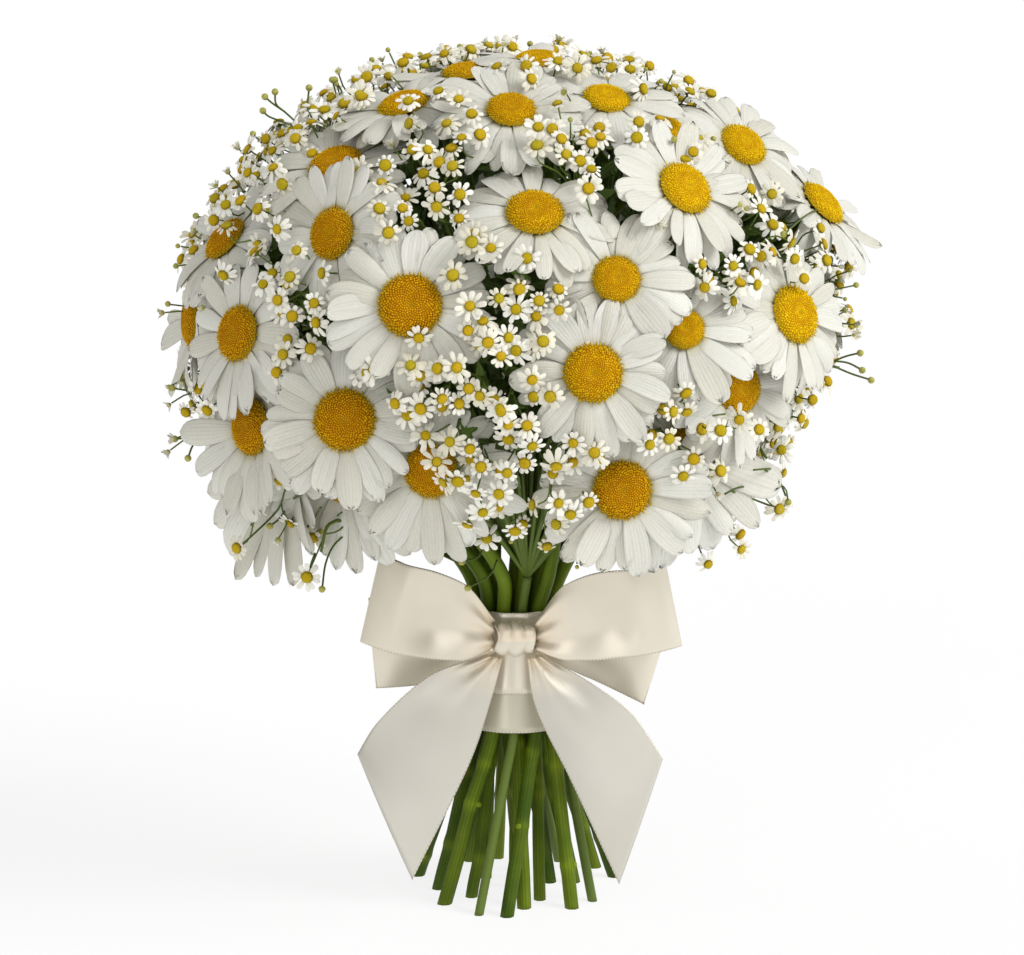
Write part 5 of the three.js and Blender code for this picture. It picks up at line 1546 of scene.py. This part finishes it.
def loop_grid(stations, side, phase, swell_height, swell_at, swell_reach):
    """Middle and half width are smooth curves through the stations. Across the ribbon, v runs
    from -1 to 1; a pleat is depth * cos(pi * pleats * v), square to the ribbon, and fades with
    the distance from the knot. Along the front, a swell partway and a shallow valley before the
    turn are bell curves of the share. The swell hangs a little below the middle, as a bell
    curve of v, the lower edge leans forward by a share of v, and one broad fold crosses them
    all."""
    flip = np.array([side, 1, 1])
    middle = smooth_path(np.array([[m for m, _ in stations]]) * flip, LOOP_STEPS)[0]
    half = smooth_path(np.array([[(h[0], 0, h[1]) for _, h in stations]]) * flip, LOOP_STEPS)[0]
    share = np.linspace(0, 1, LOOP_STEPS)
    v = np.linspace(-1, 1, ACROSS_STEPS)
    ahead = unit(np.gradient(middle, axis=0))
    normal = unit(np.cross(ahead, unit(half)))
    gathered = bell(np.minimum(share, 1 - share), 0, 0.14)[:, None]
    pleat = PLEAT_DEPTH * gathered * np.cos(np.pi * PLEATS * v + phase + 3 * share[:, None])
    front = np.sin(2 * np.pi * np.clip(share, 0, 0.5))[:, None] ** 2
    folds = front * np.cos(1.5 * np.pi * v + phase + 3.5 * share[:, None]) * (1 - share[:, None])
    bulge = swell_height * bell(share, swell_at, swell_reach) * front[:, 0] ** 0.3
    valley = LOOP_VALLEY * bell(share, 0.41, 0.05)
    belly = (1 - v**2) ** 0.7 * bell(v, -0.2, 0.8)
    lean = LOOP_LEAN * bell(share, 0.27, 0.15)
    swell = bulge[:, None] * belly - valley[:, None] * (1 - v**2) - lean[:, None] * v
    off = pleat + (folds + swell) * np.sign(normal[2, 1])
    return AXIS + middle[:, None] + half[:, None] * v[:, None] + normal[:, None] * off[..., None]


for name, stations in LOOPS.items():
    level, side = name.split("_")
    grid = loop_grid(stations, SIDES[side], PHASES[level], *SWELLS[name])
    nodes = [f"bow_loops_{side}"]
    put_ribbon(f"bow_loop_{name}", grid, loop_paint, nodes)

# %% The tails
TAILS = {
    "left": {
        "inner": [(5, -23.5, 101.6), (10, -25, 83), (17.2, -26, 61), (41.2, -27, 10.6)],
        "outer": [(11, -23.5, 102.4), (33.6, -26, 94.6), (53.8, -27, 75.6), (63.2, -27, 59.6)],
    },
    "right": {
        "inner": [(5, -23.5, 101.6), (7.8, -25, 83), (22.6, -26, 51), (41.8, -27, 8.8)],
        "outer": [(11, -23.5, 102.4), (30.8, -26, 91), (45.6, -27, 79.4), (59.3, -27, 58.8)],
    },
}
TAIL_STEPS = 60
TAIL_TURN = {"left": 12, "right": 8.5}


def tail_grid(edges, side, turn):
    """Between its two edges, with pleats under the knot that open into one soft fold. Its outer
    half turns back, by the square of the share across, and the turn grows down the tail."""
    flip = np.array([side, 1, 1])
    inner, outer = (smooth_path(np.array([edges[e]]) * flip, TAIL_STEPS)[0] for e in ("inner", "outer"))
    share = np.linspace(0, 1, TAIL_STEPS)[:, None]
    v = np.linspace(0, 1, ACROSS_STEPS)
    grid = inner[:, None] + (outer - inner)[:, None] * v[:, None]
    pleat = 1.1 * bell(share, 0, 0.2) * np.cos(5 * np.pi * v)
    depth = 2.2 * np.sin(np.pi * np.clip(share * 1.15, 0, 1))
    fold = depth * np.cos(2 * np.pi * (v - 0.35) * (1 - 0.3 * share))
    grid[..., 1] += turn * smoothstep(1.8 * share - 0.75) * v**2 - pleat - fold
    return AXIS + grid


for side, edges in TAILS.items():
    grid = tail_grid(edges, SIDES[side], TAIL_TURN[side])
    nodes = [f"bow_tail_{side}"]
    put_ribbon(f"bow_tail_{side}_satin", grid, tail_painted_sheen_paint, nodes)

# %% [markdown]
# ## The knot
# The short ribbon round the middle is squeezed into upright pleats and swells between the two
# sides of the bow. It is a barrel: an oval loop from top to bottom, carried across the knot,
# narrower at its ends, with the pleats as ridges along the loop.

# %% Knot
knot_low, knot_high = box_of("bow_knot")
knot_middle, knot_half = (knot_low + knot_high) / 2, (knot_high - knot_low) / 2
KNOT_PLEATS = 1.35
KNOT_SIDES = 48


def knot_grid():
    """An oval loop of the knot's half height and half depth; across it, v runs from -1 to 1,
    the loop shrinks by v^2, and |sin| makes round pleats with sharp creases between them."""
    angle = round_turn(KNOT_SIDES)[:, None]
    v = np.linspace(-1, 1, ACROSS_STEPS)
    pleats = np.abs(np.sin(KNOT_PLEATS * np.pi * v * (1 + 0.14 * np.sin(angle)) + 0.9))
    size = 0.86 - 0.26 * v**2 + 0.25 * pleats**0.8
    slant = 0.1 * np.sin(2 * angle + 1)
    return knot_middle + np.stack([
        knot_half[0] * (v + slant),
        -knot_half[1] * size * np.cos(angle),
        knot_half[2] * size * np.sin(angle),
    ], axis=-1)


knot = knot_grid()
put_ribbon("bow_knot_pleats", knot, loop_paint, ["bow_knot"], True)

# %% [markdown]
# ## Floor and light
# The photograph is a cut-out on white, lit softly from all round and more from the right. A
# white world, one broad sun halfway up on the right and a weaker one near the camera, for the
# satin's shine, give the same shading, from a bright right side to a greyer left one. The pale
# floor is a studio's light table: it glows from within, so the shadow on it stays faint.

# %% Floor and world
FLOOR_REACH = 6000
SKY_STRENGTH = 0.42
floor_paint = Paint("pale_floor", Roughness=0.9, Emission_Strength=0.82)
floor_paint.surface.inputs["Emission Color"].default_value = (1, 1, 1, 1)
grey = floor_paint.mix(floor_paint.noise(8), colour(114, 114, 114), colour(112, 112, 112))
floor_paint.feed("Base Color", grey)
reach = FLOOR_REACH * METRES
floor_mesh = bpy.data.meshes.new("floor")
corners = [(x * reach, y * reach, 0) for x, y in [(-1, -1), (1, -1), (1, 1), (-1, 1)]]
floor_mesh.from_pydata(corners, [], [(0, 1, 2, 3)])
floor_mesh.materials.append(floor_paint.material)
place_object("floor", floor_mesh)

world = bpy.data.worlds.new("studio")
world.use_nodes = True
sky = world.node_tree.nodes["Background"]
sky.inputs[0].default_value = (1, 1, 1, 1)
sky.inputs[1].default_value = SKY_STRENGTH
bpy.context.scene.world = world
bpy.context.scene.view_settings.view_transform = "Standard"


# %% Two suns
def broad_sun(name, way_from, strength, degrees):
    """A sun that shines from a direction, as soft as its width in degrees."""
    way = unit(np.array(way_from))
    sun = bpy.data.lights.new(name, "SUN")
    sun.energy, sun.angle = strength, np.radians(degrees)
    turn = (np.arccos(way[2]), 0, np.arctan2(way[1], way[0]) + np.pi / 2)
    place_object(name, sun).rotation_euler = turn
    print(name, "shines from", way.round(2))


broad_sun("key", (0.78, -0.3, 0.68), 2.3, 34)
broad_sun("fill", (-0.3, -0.9, 0.34), 0.6, 38)
